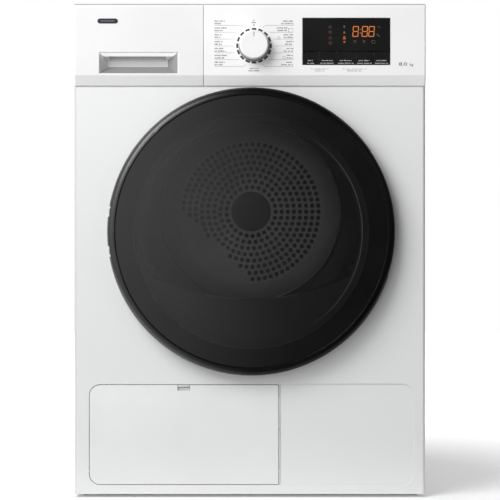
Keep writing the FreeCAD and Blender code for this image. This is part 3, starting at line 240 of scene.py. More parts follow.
def moulded(name, colour, rough, grain=1400.0, depth=0.00002, edge=0.0005, edge_wear_and_shade=1.0, cloud=0.03, specular=0.5,
            foot=1.0, top_edge=0.0):
    """Moulded plastic: fine spark grain, slow cloudiness, and edges whose tone is set by a factor: above one they
    are lighter, for rubbed wear; below one they are darker, as painted shade along edges and seams.
    """
    look = Look(name)
    near = look.eased_edges(edge) if edge else None
    slow = look.noise(7.0, 3.0)
    tone = look.shade(slow, scaled(colour, 1.0 - cloud), scaled(colour, 1.0 + cloud))
    if near is not None:
        # edge tone: lighter for rubbed wear above one, darker as painted shade along edges and seams below one
        edge_wear_and_shade_mask = look.math("MULTIPLY", near, look.spread(look.noise(60.0, 4.0), 0.5, 1.0, 0.4, 0.75))
        tone = look.mixed(edge_wear_and_shade_mask, tone, scaled(colour, edge_wear_and_shade))
    if foot < 1.0:
        tone = shaded_foot(look, tone, colour, foot)
    if top_edge:
        tone = shaded_top_edge(look, tone, top_edge)
    look.colour(tone)
    fine = look.noise(grain, 2.0, 0.6)
    look.roughness(look.math("ADD", look.spread(slow, rough - 0.04, rough + 0.05), look.spread(fine, -0.03, 0.03)))
    look.relief(fine, depth)
    look.set(IOR=1.5, Specular_IOR_Level=specular)
    return look.done()


def enamel(name, colour, rough=0.32, edge=0.0008, foot_painted_shade=1.0, lined=False):
    """Stoved enamel on sheet steel: orange peel, dust nibs and greyer folds.

    With a foot factor below one the colour greys towards the foot as painted shade, and the walls of the embossed
    field that face left or down get painted shade too. A lined sheet has a black damping coat inside.
    """
    look = Look(name)
    near = look.eased_edges(edge)
    slow = look.noise(3.0, 2.0)
    tone = look.shade(slow, scaled(colour, 0.985), scaled(colour, 1.01))
    tone = look.mixed(look.math("MULTIPLY", near, 0.8), tone, scaled(colour, 0.78))
    if foot_painted_shade < 1.0:
        # painted shade: darker towards the foot, below the control row
        low = look.spread(look.axis_part("Z"), 1.0, 0.0, 0.0, TANK_LOW.z)
        tone = look.mixed(low, tone, scaled(colour, foot_painted_shade))
        tone = shaded_foot(look, tone, colour, FOOT_SHADE)
        # painted shade on the field's walls that face left or down
        left_wall = look.spread(look.axis_part("X", of_normal=True), 1.0, 0.0, -0.3, -0.1)
        tone = look.mixed(left_wall, tone, scaled(colour, 0.7))
        hanging_wall = look.spread(look.axis_part("Z", of_normal=True), 1.0, 0.0, -0.3, -0.1)
        tone = look.mixed(hanging_wall, tone, scaled(colour, 0.75))
    if lined:
        inner = look.spread(look.axis_part("Y", of_normal=True), 1.0, 0.0, -0.6, -0.4)
        tone = look.mixed(inner, tone, (0.008, 0.008, 0.008))
    look.colour(tone)
    peel = look.noise(420.0, 2.0, 0.5)
    nibs = look.spread(look.cells(260.0), 1.0, 0.0, 0.0, 0.12)
    look.roughness(look.math("ADD", look.spread(peel, rough - 0.03, rough + 0.03), look.spread(slow, -0.03, 0.04)))
    look.relief(peel, 0.00003)
    look.relief(nibs, 0.000012)
    look.set(IOR=1.5, Coat_Weight=0.25, Coat_Roughness=0.18)
    return look.done()


def sheet_metal(name, colour, rough, brush=None, edge=0.0004):
    """Bare metal sheet: zinc spangle or brushed lines, handling marks and brighter edges."""
    look = Look(name)
    near = look.eased_edges(edge)
    if brush:
        marks = look.noise(90.0, 4.0, 0.7, look.stretched(brush))
        spots = marks
    else:
        marks = look.noise(500.0, 2.0)
        spots = look.cells(SPANGLE)
    slow = look.noise(9.0, 4.0, 0.6)
    tone = look.shade(spots, scaled(colour, 0.84), scaled(colour, 1.1), 0.1, 0.8)
    tone = look.mixed(look.spread(slow, 0.0, 0.35), tone, scaled(colour, 0.8))
    tone = look.mixed(near, tone, scaled(colour, 1.25))
    look.colour(tone)
    look.roughness(look.math("ADD", look.spread(spots, rough - 0.08, rough + 0.1, 0.1, 0.8),
                             look.spread(slow, -0.04, 0.06)))
    look.relief(marks, 0.00003)
    look.set(Metallic=1.0)
    return look.done()


def soft_rubber(name, colour, rough=0.75):
    """Matt rubber with a bloom that comes and goes, and paler edges."""
    look = Look(name)
    near = look.eased_edges(0.0006)
    slow = look.noise(25.0, 4.0, 0.6)
    tone = look.shade(slow, scaled(colour, 0.8), scaled(colour, 1.35))
    tone = look.mixed(look.math("MULTIPLY", near, 0.5), tone, scaled(colour, 2.2))
    look.colour(tone)
    fine = look.noise(900.0, 3.0, 0.6)
    look.roughness(look.spread(fine, rough - 0.1, rough + 0.1))
    look.relief(fine, 0.00004)
    look.set(IOR=1.52, Specular_IOR_Level=0.35)
    return look.done()


def felted(name, colour):
    """Wool felt: tangled strands over slow lumps."""
    look = Look(name)
    strands = look.noise(700.0, 6.0, 0.75)
    look.colour(look.shade(strands, scaled(colour, 0.6), scaled(colour, 1.3)))
    look.roughness(look.spread(strands, 0.85, 1.0))
    look.relief(strands, 0.0003)
    look.relief(look.noise(90.0, 3.0), 0.0004)
    look.set(Sheen_Weight=0.4, Sheen_Roughness=0.5, Specular_IOR_Level=0.1)
    return look.done()


def smoked_lens():
    """Smoked gloss dome: see-through over the mouth, backed with opaque black print outside it."""
    look = Look("smoked_lens")
    distance = look.from_axis(DOOR_X, DOOR_Z)
    start = PRINT_R - 0.001
    end = PRINT_R + 0.001
    look.join(look.spread(distance, LENS_TINT, 1.0, start, end), look.shader.inputs["Alpha"])
    look.join(look.spread(distance, LENS_IOR, PRINT_IOR, start, end), look.shader.inputs["IOR"])
    slow = look.noise(12.0, 4.0, 0.6)
    look.colour(look.shade(slow, (0.003, 0.003, 0.0032), (0.005, 0.005, 0.0053)))
    hairs = look.noise(60.0, 5.0, 0.7, look.stretched((1.0, 1.0, 9.0)))
    look.roughness(look.math("ADD", look.spread(slow, 0.05, 0.11), look.spread(hairs, 0.0, 0.03)))
    look.relief(look.noise(18.0, 1.0), 0.00002)
    return look.done()


def clear_moulding(name, tint, see, rough):
    """Clear or milky moulding whose haze changes slowly over it."""
    look = Look(name)
    slow = look.noise(14.0, 3.0)
    look.colour(look.shade(slow, scaled(tint, 0.92), scaled(tint, 1.04)))
    look.roughness(look.spread(slow, rough - 0.03, rough + 0.05))
    look.join(look.spread(slow, see - 0.012, see + 0.018), look.shader.inputs["Alpha"])
    look.relief(look.noise(20.0, 2.0), 0.00002)
    look.set(IOR=1.5)
    return look.done()


def drum_back():
    """Rear wall: brushed plate round the grille, a drawn skirt outside it darkened as painted shade, and a painted
    highlight on the rim between them, on the right.
    """
    look = Look("drum_back_sheet")
    reach = look.from_axis(DRUM_X, DRUM_Z)
    slow = look.noise(9.0, 4.0, 0.6)
    lines = look.noise(90.0, 4.0, 0.7, look.stretched((1.0, 14.0, 1.0)))
    plate = look.shade(lines, (0.525, 0.53, 0.537), (0.75, 0.755, 0.762), 0.2, 0.8)
    plate = look.mixed(look.spread(reach, 0.0, 1.0, HOLES_R, STEP_R - 0.004), plate, (0.25, 0.25, 0.254))
    # painted shade: the skirt is near black
    skirt = look.shade(lines, (0.038, 0.038, 0.039), (0.062, 0.062, 0.063), 0.2, 0.8)
    tone = look.mixed(look.spread(reach, 0.0, 1.0, STEP_R - 0.0015, STEP_R - 0.0005), plate, skirt)
    # painted highlight: a bright, non-metal rim on the right side of the step
    rim = look.math("MULTIPLY", look.spread(reach, 0.0, 1.0, STEP_R - 0.0035, STEP_R - 0.0025),
                    look.spread(reach, 1.0, 0.0, STEP_R - 0.0015, STEP_R - 0.0005))
    rim = look.math("MULTIPLY", rim, look.spread(look.axis_part("X"), 0.0, 1.0, DRUM_X - 0.04, DRUM_X + 0.08))
    look.colour(look.mixed(rim, tone, (0.95, 0.95, 0.95)))
    look.join(look.spread(rim, 1.0, 0.0, 0.0, 1.0), look.shader.inputs["Metallic"])
    look.roughness(look.math("ADD", look.spread(slow, 0.36, 0.5), look.spread(lines, -0.05, 0.05)))
    look.relief(lines, 0.00003)
    return look.done()


def dark_backed_zinc():
    """Zinc-coated sheet with a matt black patch behind the air grille, painted shade for the dark seen through the
    holes.
    """
    look = Look("bulkhead_zinc")
    near = look.eased_edges(0.0004)
    # painted shade: black where the grille's holes look onto the sheet
    patch = look.spread(look.from_axis(DRUM_X, DRUM_Z), 1.0, 0.0, STEP_R - 0.004, STEP_R)
    spots = look.cells(SPANGLE)
    tone = look.shade(spots, (0.52, 0.53, 0.54), (0.68, 0.69, 0.7), 0.1, 0.8)
    tone = look.mixed(near, tone, (0.78, 0.79, 0.8))
    look.colour(look.mixed(patch, tone, (0.006, 0.006, 0.006)))
    look.roughness(look.math("ADD", look.spread(spots, 0.36, 0.5, 0.1, 0.8), look.math("MULTIPLY", patch, 0.4)))
    look.join(look.spread(patch, 1.0, 0.0, 0.0, 1.0), look.shader.inputs["Metallic"])
    look.relief(look.noise(500.0, 2.0), 0.00003)
    return look.done()


def mouth_seal():
    """Black rubber with a painted highlight along its inner lip on the handle side."""
    look = Look("mouth_seal_rubber")
    reach = look.from_axis(DOOR_X, DOOR_Z)
    fine = look.noise(500.0, 3.0, 0.6)
    tone = look.shade(fine, (0.012, 0.012, 0.013), (0.02, 0.02, 0.021))
    # painted highlight: a grey band on the lip's right side
    lip = look.math("MULTIPLY", look.spread(reach, 0.0, 1.0, LIP_R0, LIP_R0 + 0.0005),
                    look.spread(reach, 1.0, 0.0, LIP_R1 - 0.0006, LIP_R1))
    lip = look.math("MULTIPLY", lip, look.spread(look.axis_part("X"), 0.0, 1.0, DOOR_X + 0.09, DOOR_X + 0.17))
    look.colour(look.mixed(look.math("MULTIPLY", lip, look.spread(fine, 0.7, 1.0)), tone, (0.3, 0.3, 0.3)))
    look.roughness(look.spread(fine, 0.5, 0.7))
    look.relief(fine, 0.000006)
    look.set(IOR=1.5, Specular_IOR_Level=0.2)
    return look.done()


def knob_finish():
    """Satin cap; the skirt round it is greyed with painted shade, strongest on its lower part."""
    look = Look("knob_satin_painted_shade")
    near = look.eased_edges(0.0003)
    reach = look.from_axis(KNOB_X, KNOB_Z)
    slow = look.noise(40.0, 3.0)
    tone = look.shade(slow, (0.93, 0.93, 0.93), (0.97, 0.97, 0.97))
    # painted shade on the skirt's lower part
    skirt = look.math("MULTIPLY", look.spread(reach, 0.0, 1.0, KNOB_R - 0.0021, KNOB_R - 0.0016),
                      look.spread(look.axis_part("Z"), 1.0, 0.0, KNOB_Z - 0.004, KNOB_Z + 0.012))
    tone = look.mixed(skirt, tone, (0.25, 0.25, 0.255))
    look.colour(look.mixed(look.math("MULTIPLY", near, 0.5), tone, (0.8, 0.8, 0.8)))
    fine = look.noise(1800.0, 2.0, 0.6)
    look.roughness(look.math("ADD", look.spread(slow, 0.25, 0.33), look.spread(fine, -0.03, 0.03)))
    look.relief(fine, 0.00001)
    look.set(IOR=1.5)
    return look.done()


def worktop_finish():
    """Textured laminate with a grey front edge band."""
    look = Look("worktop_laminate_banded")
    near = look.eased_edges(0.0005)
    slow = look.noise(7.0, 3.0)
    tone = look.shade(slow, (0.83, 0.835, 0.84), (0.88, 0.885, 0.89))
    front = look.spread(look.axis_part("Y", of_normal=True), 1.0, 0.0, -0.7, -0.4)
    tone = look.mixed(front, tone, (0.3, 0.3, 0.305))
    look.colour(look.mixed(look.math("MULTIPLY", near, 0.5), tone, (0.72, 0.725, 0.73)))
    fine = look.noise(700.0, 2.0, 0.6)
    look.roughness(look.math("ADD", look.spread(slow, 0.46, 0.55), look.spread(fine, -0.04, 0.04)))
    look.relief(fine, 0.00007)
    look.set(IOR=1.5)
    return look.done()


def tank_face():
    """Satin moulding whose finger pocket carries painted shade: foot darkest, then right wall, back and left wall,
    with a painted glow on its upper slope.
    """
    look = Look("tank_face_satin")
    near = look.eased_edges(0.0008)
    slow = look.noise(7.0, 3.0)
    tone = look.shade(slow, (0.88, 0.88, 0.88), (0.92, 0.92, 0.92))
    # edges darkened: painted shade on the roundings
    tone = look.mixed(look.math("MULTIPLY", near, 0.8), tone, (0.68, 0.68, 0.68))
    tone = shaded_top_edge(look, tone, 0.75)
    sunk = look.spread(look.axis_part("Y"), 0.0, 1.0, FACE_Y + 0.0006, FACE_Y + 0.0014)
    for axis, base, start, end in (("X", TANK_LOW.x, 0.042, 0.043), ("X", TANK_LOW.x, 0.179, 0.178),
                                   ("Z", TANK_LOW.z, 0.0201, 0.0206), ("Z", TANK_LOW.z, 0.065, 0.064)):
        inside = look.axis_part(axis)
        if start < end:
            inside = look.spread(inside, 0.0, 1.0, base + start, base + end)
        else:
            inside = look.spread(inside, 1.0, 0.0, base + end, base + start)
        sunk = look.math("MULTIPLY", sunk, inside)
    up = look.axis_part("Z", of_normal=True)
    right = look.axis_part("X", of_normal=True)
    # painted shade: each face of the pocket gets its own grey by the way it is turned
    pocket = look.mixed(look.spread(right, 0.0, 1.0, -0.25, -0.1), POCKET_RIGHT, POCKET_BACK)
    pocket = look.mixed(look.spread(right, 0.0, 1.0, 0.1, 0.25), pocket, POCKET_LEFT)
    pocket = look.mixed(look.spread(up, 0.0, 1.0, 0.2, 0.45), pocket, POCKET_FOOT)
    pocket = look.mixed(look.spread(up, 1.0, 0.0, -0.4, -0.2), pocket, POCKET_TOP)
    look.colour(look.mixed(sunk, tone, pocket))
    # painted light: the upper slope glows
    painted_glow = look.math("MULTIPLY", sunk, look.spread(up, POCKET_PAINTED_GLOW, 0.0, -0.4, -0.2))
    before_lip = look.spread(look.axis_part("Y"), 1.0, 0.0, FACE_Y + 0.011, FACE_Y + 0.0125)
    look.join(look.math("MULTIPLY", painted_glow, before_lip), look.shader.inputs["Emission Strength"])
    fine = look.noise(1400.0, 2.0, 0.6)
    look.roughness(look.math("ADD", look.spread(slow, 0.3, 0.39), look.spread(fine, -0.03, 0.03)))
    look.relief(fine, 0.00002)
    look.set(IOR=1.5, Emission_Color=(1.0, 1.0, 1.0, 1.0))
    return look.done()


def gloss_black(name, colour, rough, edge=0.0006, specular=0.5, left_painted_sheen=None):
    """Deep gloss black with hairline scratches; faces turned to the left can get a painted sheen, by a stronger
    specular.
    """
    look = Look(name)
    near = look.eased_edges(edge) if edge else None
    slow = look.noise(10.0, 4.0, 0.6)
    hairs = look.noise(80.0, 6.0, 0.75, look.stretched((14.0, 1.0, 1.0)))
    tone = look.shade(slow, scaled(colour, 0.8), scaled(colour, 1.3))
    if near is not None:
        tone = look.mixed(look.math("MULTIPLY", near, 0.35), tone, scaled(colour, 2.4))
    look.colour(tone)
    look.roughness(look.math("ADD", look.spread(slow, rough - 0.03, rough + 0.05), look.spread(hairs, 0.0, 0.05)))
    look.relief(hairs, 0.000004)
    look.relief(look.noise(1500.0, 2.0), 0.000006)
    look.set(IOR=1.5, Specular_IOR_Level=specular)
    # painted sheen: stronger specular on faces turned to the left
    if left_painted_sheen is not None:
        look.join(look.spread(look.axis_part("X", of_normal=True), left_painted_sheen, specular, -0.6, 0.0),
                  look.shader.inputs["Specular IOR Level"])
    return look.done()


def ink(name, colour, rough=0.45):
    """Screen-printed ink: a thin film with slightly uneven cover."""
    look = Look(name)
    speck = look.noise(2600.0, 3.0, 0.6)
    look.colour(look.shade(speck, scaled(colour, 0.85), scaled(colour, 1.2)))
    look.roughness(look.spread(speck, rough - 0.08, rough + 0.1))
    look.relief(speck, 0.000008)
    look.set(IOR=1.45)
    return look.done()


def lit_ink(name, colour, strength):
    """Segment lit from behind, a little stronger in places."""
    look = Look(name)
    patch = look.noise(900.0, 2.0)
    look.colour(look.shade(patch, scaled(colour, 0.2), scaled(colour, 0.26)))
    look.join(look.shade(patch, scaled(colour, 0.8), colour), look.shader.inputs["Emission Color"])
    look.roughness(look.spread(patch, 0.3, 0.45))
    look.set(Emission_Strength=strength)
    return look.done()


LENS_TINT = 0.3                  # cover of the lens where it can be seen through
LENS_IOR = 1.93                  # there the thin skin mirrors as strongly as the opaque print
PRINT_IOR = 1.5
PRINT_R = 0.1995                 # the print on the lens starts this far from the door's axis
LIP_R0 = 0.1883                  # painted highlight on the lip of the mouth seal, from and to
LIP_R1 = 0.1907
# painted shade in the tank's finger pocket, by the way each face is turned
POCKET_FOOT = (0.27, 0.27, 0.275)
POCKET_RIGHT = (0.3, 0.3, 0.305)
POCKET_LEFT = (0.9, 0.9, 0.9)
POCKET_BACK = (0.74, 0.74, 0.745)
POCKET_TOP = (0.95, 0.95, 0.95)
POCKET_PAINTED_GLOW = 0.55              # painted light: glow of the pocket's upper slope
# grey of the painted shade on the control row's top edge
TOP_EDGE_PAINTED_SHADE = (0.22, 0.22, 0.225)
FOOT_SHADE_TOP = 0.17            # the painted shade at the foot ends at this height
FOOT_SHADE = 0.84
SPANGLE = 120.0                  # zinc crystals for each metre
WHITE = (0.80, 0.805, 0.81)

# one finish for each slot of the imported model, and the nodes that have their own
FINISH = {
    "white_sheet": enamel("sheet_enamel", WHITE),
    "white_moulding": moulded("white_moulding_satin", (0.9, 0.9, 0.9), 0.34, edge=0.0008, edge_wear_and_shade=0.8),
    "worktop_white": moulded("worktop_laminate", (0.86, 0.865, 0.87), 0.5, grain=700.0, depth=0.00007, edge_wear_and_shade=0.92),
    "door_black": gloss_black("door_gloss_black", (0.005, 0.005, 0.0055), 0.26, specular=0.35),
    "lens_tint": smoked_lens(),
    "clear_window": clear_moulding("clear_bowl", (0.03, 0.031, 0.032), 0.08, 0.08),
    "window_black": gloss_black("window_smoked", (0.010, 0.010, 0.011), 0.16, edge=0.0003),
    "key_black": gloss_black("key_gloss_black", (0.006, 0.006, 0.0065), 0.2, edge=None, specular=0.3),
    "grey_moulding": moulded("dark_grey_moulding", (0.1, 0.103, 0.107), 0.5, grain=900.0, depth=0.00005, edge_wear_and_shade=1.6),
    "light_moulding": moulded("light_grey_moulding", (0.55, 0.56, 0.57), 0.5, grain=900.0, depth=0.00004),
    "knob_white": moulded("knob_satin", (0.9, 0.9, 0.9), 0.28, grain=1800.0, depth=0.00001, edge=0.0003, edge_wear_and_shade=0.95),
    "galvanised": sheet_metal("zinc_coated_sheet", (0.62, 0.63, 0.64), 0.42),
    "steel": sheet_metal("brushed_steel", (0.56, 0.565, 0.57), 0.32, brush=(1.0, 1.0, 12.0)),
    "drum_steel": sheet_metal("drum_sheet", (0.52, 0.525, 0.53), 0.42, brush=(1.0, 14.0, 1.0), edge=0.0002),
    "aluminium_fins": sheet_metal("fin_aluminium", (0.78, 0.785, 0.79), 0.36, brush=(16.0, 1.0, 1.0)),
    "rubber_black": soft_rubber("black_rubber", (0.03, 0.03, 0.03)),
    "gasket_grey": soft_rubber("gasket_rubber", (0.012, 0.012, 0.013), 0.6),
    "felt": felted("wool_felt", (0.42, 0.4, 0.37)),
    "tank_clear": clear_moulding("tank_milky", (0.8, 0.81, 0.82), 0.72, 0.4),
    "motor_can": moulded("motor_enamel", (0.16, 0.165, 0.17), 0.38, grain=600.0, depth=0.00003, edge_wear_and_shade=1.8),
    "heater_metal": sheet_metal("heater_tube", (0.55, 0.53, 0.5), 0.28, brush=(1.0, 1.0, 10.0)),
}
DRUM_BACK = drum_back()
SPECIAL = {
    "front_panel": enamel("front_enamel", (0.88, 0.885, 0.89), foot_painted_shade=0.92),
    "service_flap": moulded("flap_satin", (0.86, 0.865, 0.87), 0.34, edge=0.0008, edge_wear_and_shade=0.7, foot=FOOT_SHADE),
    # edges darkened strongly: painted shade outlining the latch's tab
    "flap_latch": moulded("latch_satin", (0.86, 0.865, 0.87), 0.34, edge=0.0009, edge_wear_and_shade=0.2),
    "lint_filter": moulded("filter_moulding", (0.02, 0.02, 0.021), 0.55, grain=900.0, depth=0.00001),
    "rear_panel": enamel("rear_enamel", WHITE, lined=True),
    "rear_duct_cover": enamel("duct_enamel", WHITE, lined=True),
    "door_ring": gloss_black("ring_gloss_black", (0.004, 0.004, 0.0045), 0.26, specular=0.12, left_painted_sheen=1.2),
    "moisture_sensors": sheet_metal("sensor_steel", (0.15, 0.15, 0.152), 0.5, brush=(12.0, 1.0, 1.0)),
    "door_frame": gloss_black("frame_black", (0.015, 0.015, 0.016), 0.5),
    "drum_rear_wall": DRUM_BACK,
    "drum_air_grille": DRUM_BACK,
    # near black: painted shade on the drum's steel skin
    "drum_shell": sheet_metal("drum_skin", (0.075, 0.075, 0.077), 0.4, brush=(1.0, 14.0, 1.0), edge=0.0002),
    "drum_shaft": sheet_metal("blackened_steel", (0.012, 0.012, 0.013), 0.6, brush=(1.0, 1.0, 12.0)),
    "front_bulkhead": moulded("mouth_moulding", (0.015, 0.015, 0.016), 0.55, grain=900.0, depth=0.000008, edge_wear_and_shade=1.6,
                              specular=0.3),
    "door_gasket": mouth_seal(),
    "control_panel": moulded("panel_satin", (0.97, 0.97, 0.97), 0.34, edge=0.0008, edge_wear_and_shade=0.7, top_edge=0.75),
    "programme_knob": knob_finish(),
    "top_panel": worktop_finish(),
    "display_window": gloss_black("display_smoked", (0.006, 0.006, 0.0065), 0.16, edge=0.0003, specular=0.3),
    "rear_bulkhead": dark_backed_zinc(),
    "tank_front": tank_face(),
    "drum_hub_cap": moulded("hub_moulding", (0.2, 0.202, 0.208), 0.42, edge_wear_and_shade=1.5),
}

for thing in NODES.values():
    for holder in thing.material_slots:
        holder.material = FINISH[holder.material.name]
for node, finish in SPECIAL.items():
    NODES[node].material_slots[0].material = finish

INK_GREY = ink("print_grey", (0.12, 0.12, 0.123))
INK_DARK = ink("print_dark", (0.045, 0.045, 0.047))
INK_LIGHT = ink("print_light", (0.42, 0.42, 0.42))
INK_KEYS = ink("print_keys", (0.5, 0.5, 0.5))
INK_FAINT = ink("print_faint", (0.25, 0.25, 0.25))
BADGE_LOOK = gloss_black("badge_lacquer", (0.012, 0.014, 0.03), 0.25, edge=0.0003)
LIT = lit_ink("segment_lit", (0.95, 0.27, 0.055), 0.6)
GLOW = lit_ink("segment_glow", (0.5, 0.13, 0.03), 0.55)
DIM = lit_ink("segment_dim", (0.15, 0.07, 0.04), 0.6)
PALE = lit_ink("segment_pale", (0.14, 0.11, 0.09), 0.8)


# ---------------------------------------------------------------- flat printed work

class Flat:
    """Thin raised shapes on a face that looks along -Y."""

    def __init__(self, face_y, proud=INK_PROUD):
        self.mesh = bmesh.new()
        self.front = face_y - proud
        self.back = face_y + INK_SUNK

    def polygon(self, points):
        """A plate over a closed (x, z) outline, counted either way round."""
        area = sum(a[0] * b[1] - b[0] * a[1] for a, b in zip(points, points[1:] + points[:1]))
        if area < 0:
            points = points[::-1]
        front = [self.mesh.verts.new((x, self.front, z)) for x, z in points]
        back = [self.mesh.verts.new((x, self.back, z)) for x, z in points]
        self.mesh.faces.new(front)
        self.mesh.faces.new(back[::-1])
        for i in range(len(points)):
            j = (i + 1) % len(points)
            self.mesh.faces.new((front[j], front[i], back[i], back[j]))

    def bar(self, x0, x1, z0, z1, lean=0.0):
        self.polygon([(x0, z0), (x1, z0), (x1 + lean, z1), (x0 + lean, z1)])

    def sector(self, cx, cz, r0, r1, start, end, steps=6):
        angles = [start + (end - start) * i / steps for i in range(steps + 1)]
        outer = [(cx + r1 * math.cos(a), cz + r1 * math.sin(a)) for a in angles]
        inner = [(cx + r0 * math.cos(a), cz + r0 * math.sin(a)) for a in reversed(angles)]
        self.polygon(outer + inner)

    def ring(self, cx, cz, r0, r1, parts=4):
        for i in range(parts):
            self.sector(cx, cz, r0, r1, 2 * math.pi * i / parts, 2 * math.pi * (i + 1) / parts)

    def line(self, points, width):
        """A ribbon of constant width through (x, z) points, with mitred joints."""
        left, right = [], []
        for i, point in enumerate(points):
            before = Vector(points[max(i - 1, 0)])
            after = Vector(points[min(i + 1, len(points) - 1)])
            way = (after - before).normalized()
            across = Vector((-way.y, way.x)) * (width / 2)
            left.append((point[0] + across.x, point[1] + across.y))
            right.append((point[0] - across.x, point[1] - across.y))
        self.polygon(left + right[::-1])

    def frame(self, x0, x1, z0, z1, width):
        """The outline of an upright rectangle."""
        self.line([(x0, z0), (x1, z0), (x1, z1), (x0, z1)], width)
        self.line([(x0, z1), (x0, z0)], width)

    def words(self, x0, x1, z, height, seed):
        """A row of short dashes in groups, standing for a line of small print."""
        dice = random.Random(seed)
        x = x0
        while x < x1 - height * 0.4:
            for _ in range(dice.randint(3, 7)):
                wide = height * dice.uniform(0.34, 0.6)
                if x + wide > x1:
                    break
                tall = height * dice.choice((0.72, 0.72, 0.72, 1.0))
                self.bar(x, x + wide, z, z + tall)
                x += wide + height * 0.2
            x += height * 0.55

    def done(self, name, material, body, slot):
        mesh = bpy.data.meshes.new(name)
        self.mesh.to_mesh(mesh)
        self.mesh.free()
        return place(name, mesh, material, body)


def place(name, mesh, material, body):
    """A flat-shaded piece that rides on a body."""
    piece = bpy.data.objects.new(name, mesh)
    bpy.context.scene.collection.objects.link(piece)
    mesh.materials.append(material)
    for face in mesh.polygons:
        face.use_smooth = False
    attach(piece, body)
    return piece


# ---------------------------------------------------------------- dial print

PLACES = 16                                 # programme places round the knob
DASH_HALF = 0.135                           # half the angle of a place mark
dashes = Flat(FACE_Y)
for i in range(PLACES):
    middle = math.pi / 2 + 2 * math.pi * i / PLACES
    dashes.sector(KNOB_X, KNOB_Z, KNOB_R + 0.0005, KNOB_R + 0.0039, middle - DASH_HALF, middle + DASH_HALF)
dashes.done("dial_dashes", INK_DARK, "cabinet", "grey_moulding")

LEAD_PITCH = 0.0117
LEAD_WIDTH = 0.0007
LEAD_R = 0.0352                             # the leaders end this far from the knob's axis
LABEL_REACH = 0.0672                        # the labels end this far to its left and right
SHORT_LABEL = 0.0115
leads = Flat(FACE_Y)
labels = Flat(FACE_Y)
for side in (-1, 1):
    for row in range(-3, 4):
        z = KNOB_Z - row * LEAD_PITCH - 0.0005
        far = KNOB_X + side * LABEL_REACH
        if abs(row) < 3:
            end = KNOB_X + side * math.sqrt(LEAD_R ** 2 - (z - KNOB_Z) ** 2)
            leads.line([(far, z), (end, z)], LEAD_WIDTH)
        else:
            turn = KNOB_X + side * 0.0195
            drop = 0.0032 if row < 0 else -0.0032
            leads.line([(far, z), (turn, z), (KNOB_X + side * 0.0142, z - drop)], LEAD_WIDTH)
        dice = random.Random(40 + row * 7 + side)
        for line, lift in enumerate((0.0020, 0.0064)):
            wide = dice.uniform(0.010, 0.022)
            start = KNOB_X - LABEL_REACH if side < 0 else KNOB_X + LABEL_REACH - wide
            if side > 0 and row == -2:                      # room for the square mark at the far end
                start -= 0.0100
            if side > 0 and row == 2:                       # room for the round mark before the words
                start = max(start, KNOB_X + LABEL_REACH - SHORT_LABEL)
                wide = min(wide, SHORT_LABEL)
            labels.words(start, start + wide, z + lift, 0.0023, 100 * line + row * 3 + side)
leads.done("dial_leaders", INK_LIGHT, "cabinet", "grey_moulding")
for left, right, dz, height, seed in ((0.0075, 0.0085, -0.0394, 0.0018, 5), (0.0098, 0.0105, -0.0436, 0.0022, 9),
                                      (0.0045, 0.0055, 0.0385, 0.0021, 12), (0.0024, 0.0024, 0.0428, 0.0016, 13)):
    labels.words(KNOB_X - left, KNOB_X + right, KNOB_Z + dz, height, seed)
labels.done("dial_labels", INK_GREY, "cabinet", "grey_moulding")

icons = Flat(FACE_Y)
icons.ring(KNOB_X, KNOB_Z + 0.0347, 0.0012, 0.0017)
icons.bar(KNOB_X - 0.0003, KNOB_X + 0.0003, KNOB_Z + 0.0347, KNOB_Z + 0.0373)
icons.frame(KNOB_X + 0.0625 - 0.0038, KNOB_X + 0.0625 + 0.0038, KNOB_Z + 0.0232, KNOB_Z + 0.0292, 0.0005)
for dx, dz, r in ((0.0425, 0.0135, 0.0023), (0.0515, -0.0205, 0.0026)):
    icons.ring(KNOB_X + dx, KNOB_Z + dz, r - 0.0005, r)
icons.done("dial_icons", INK_GREY, "cabinet", "grey_moulding")


# ---------------------------------------------------------------- knob details

tick = Flat(KNOB_LOW.y + 0.0006)
tick.bar(KNOB_X - 0.0007, KNOB_X + 0.0007, KNOB_Z + 0.0136, KNOB_Z + 0.0209)
tick.done("knob_tick", INK_LIGHT, "knob", "grey_moulding")

RIBS = 60
RIB_HEIGHT = 0.0005
half = 0.35 * math.pi / RIBS
ribs = bmesh.new()
for i in range(RIBS):
    a = 2 * math.pi * i / RIBS
    rows = []
    for y, r in ((KNOB_LOW.y + 0.0032, 0.0240), (KNOB_HIGH.y - 0.0165, 0.0247)):
        rows.append([ribs.verts.new((KNOB_X + reach * math.cos(turn), y, KNOB_Z + reach * math.sin(turn)))
                     for turn, reach in ((a - half, r), (a, r + RIB_HEIGHT), (a + half, r))])
    ribs.faces.new((rows[0][0], rows[0][1], rows[1][1], rows[1][0]))
    ribs.faces.new((rows[0][1], rows[0][2], rows[1][2], rows[1][1]))
    ribs.faces.new(rows[0][::-1])
    ribs.faces.new(rows[1])
    ribs.faces.new((rows[0][0], rows[1][0], rows[1][2], rows[0][2]))
bmesh.ops.recalc_face_normals(ribs, faces=ribs.faces)
mesh = bpy.data.meshes.new("knob_ribs")
ribs.to_mesh(mesh)
ribs.free()
place("knob_ribs", mesh, FINISH["knob_white"], "knob")


# ---------------------------------------------------------------- latch: painted shadows round the notch and under the tab

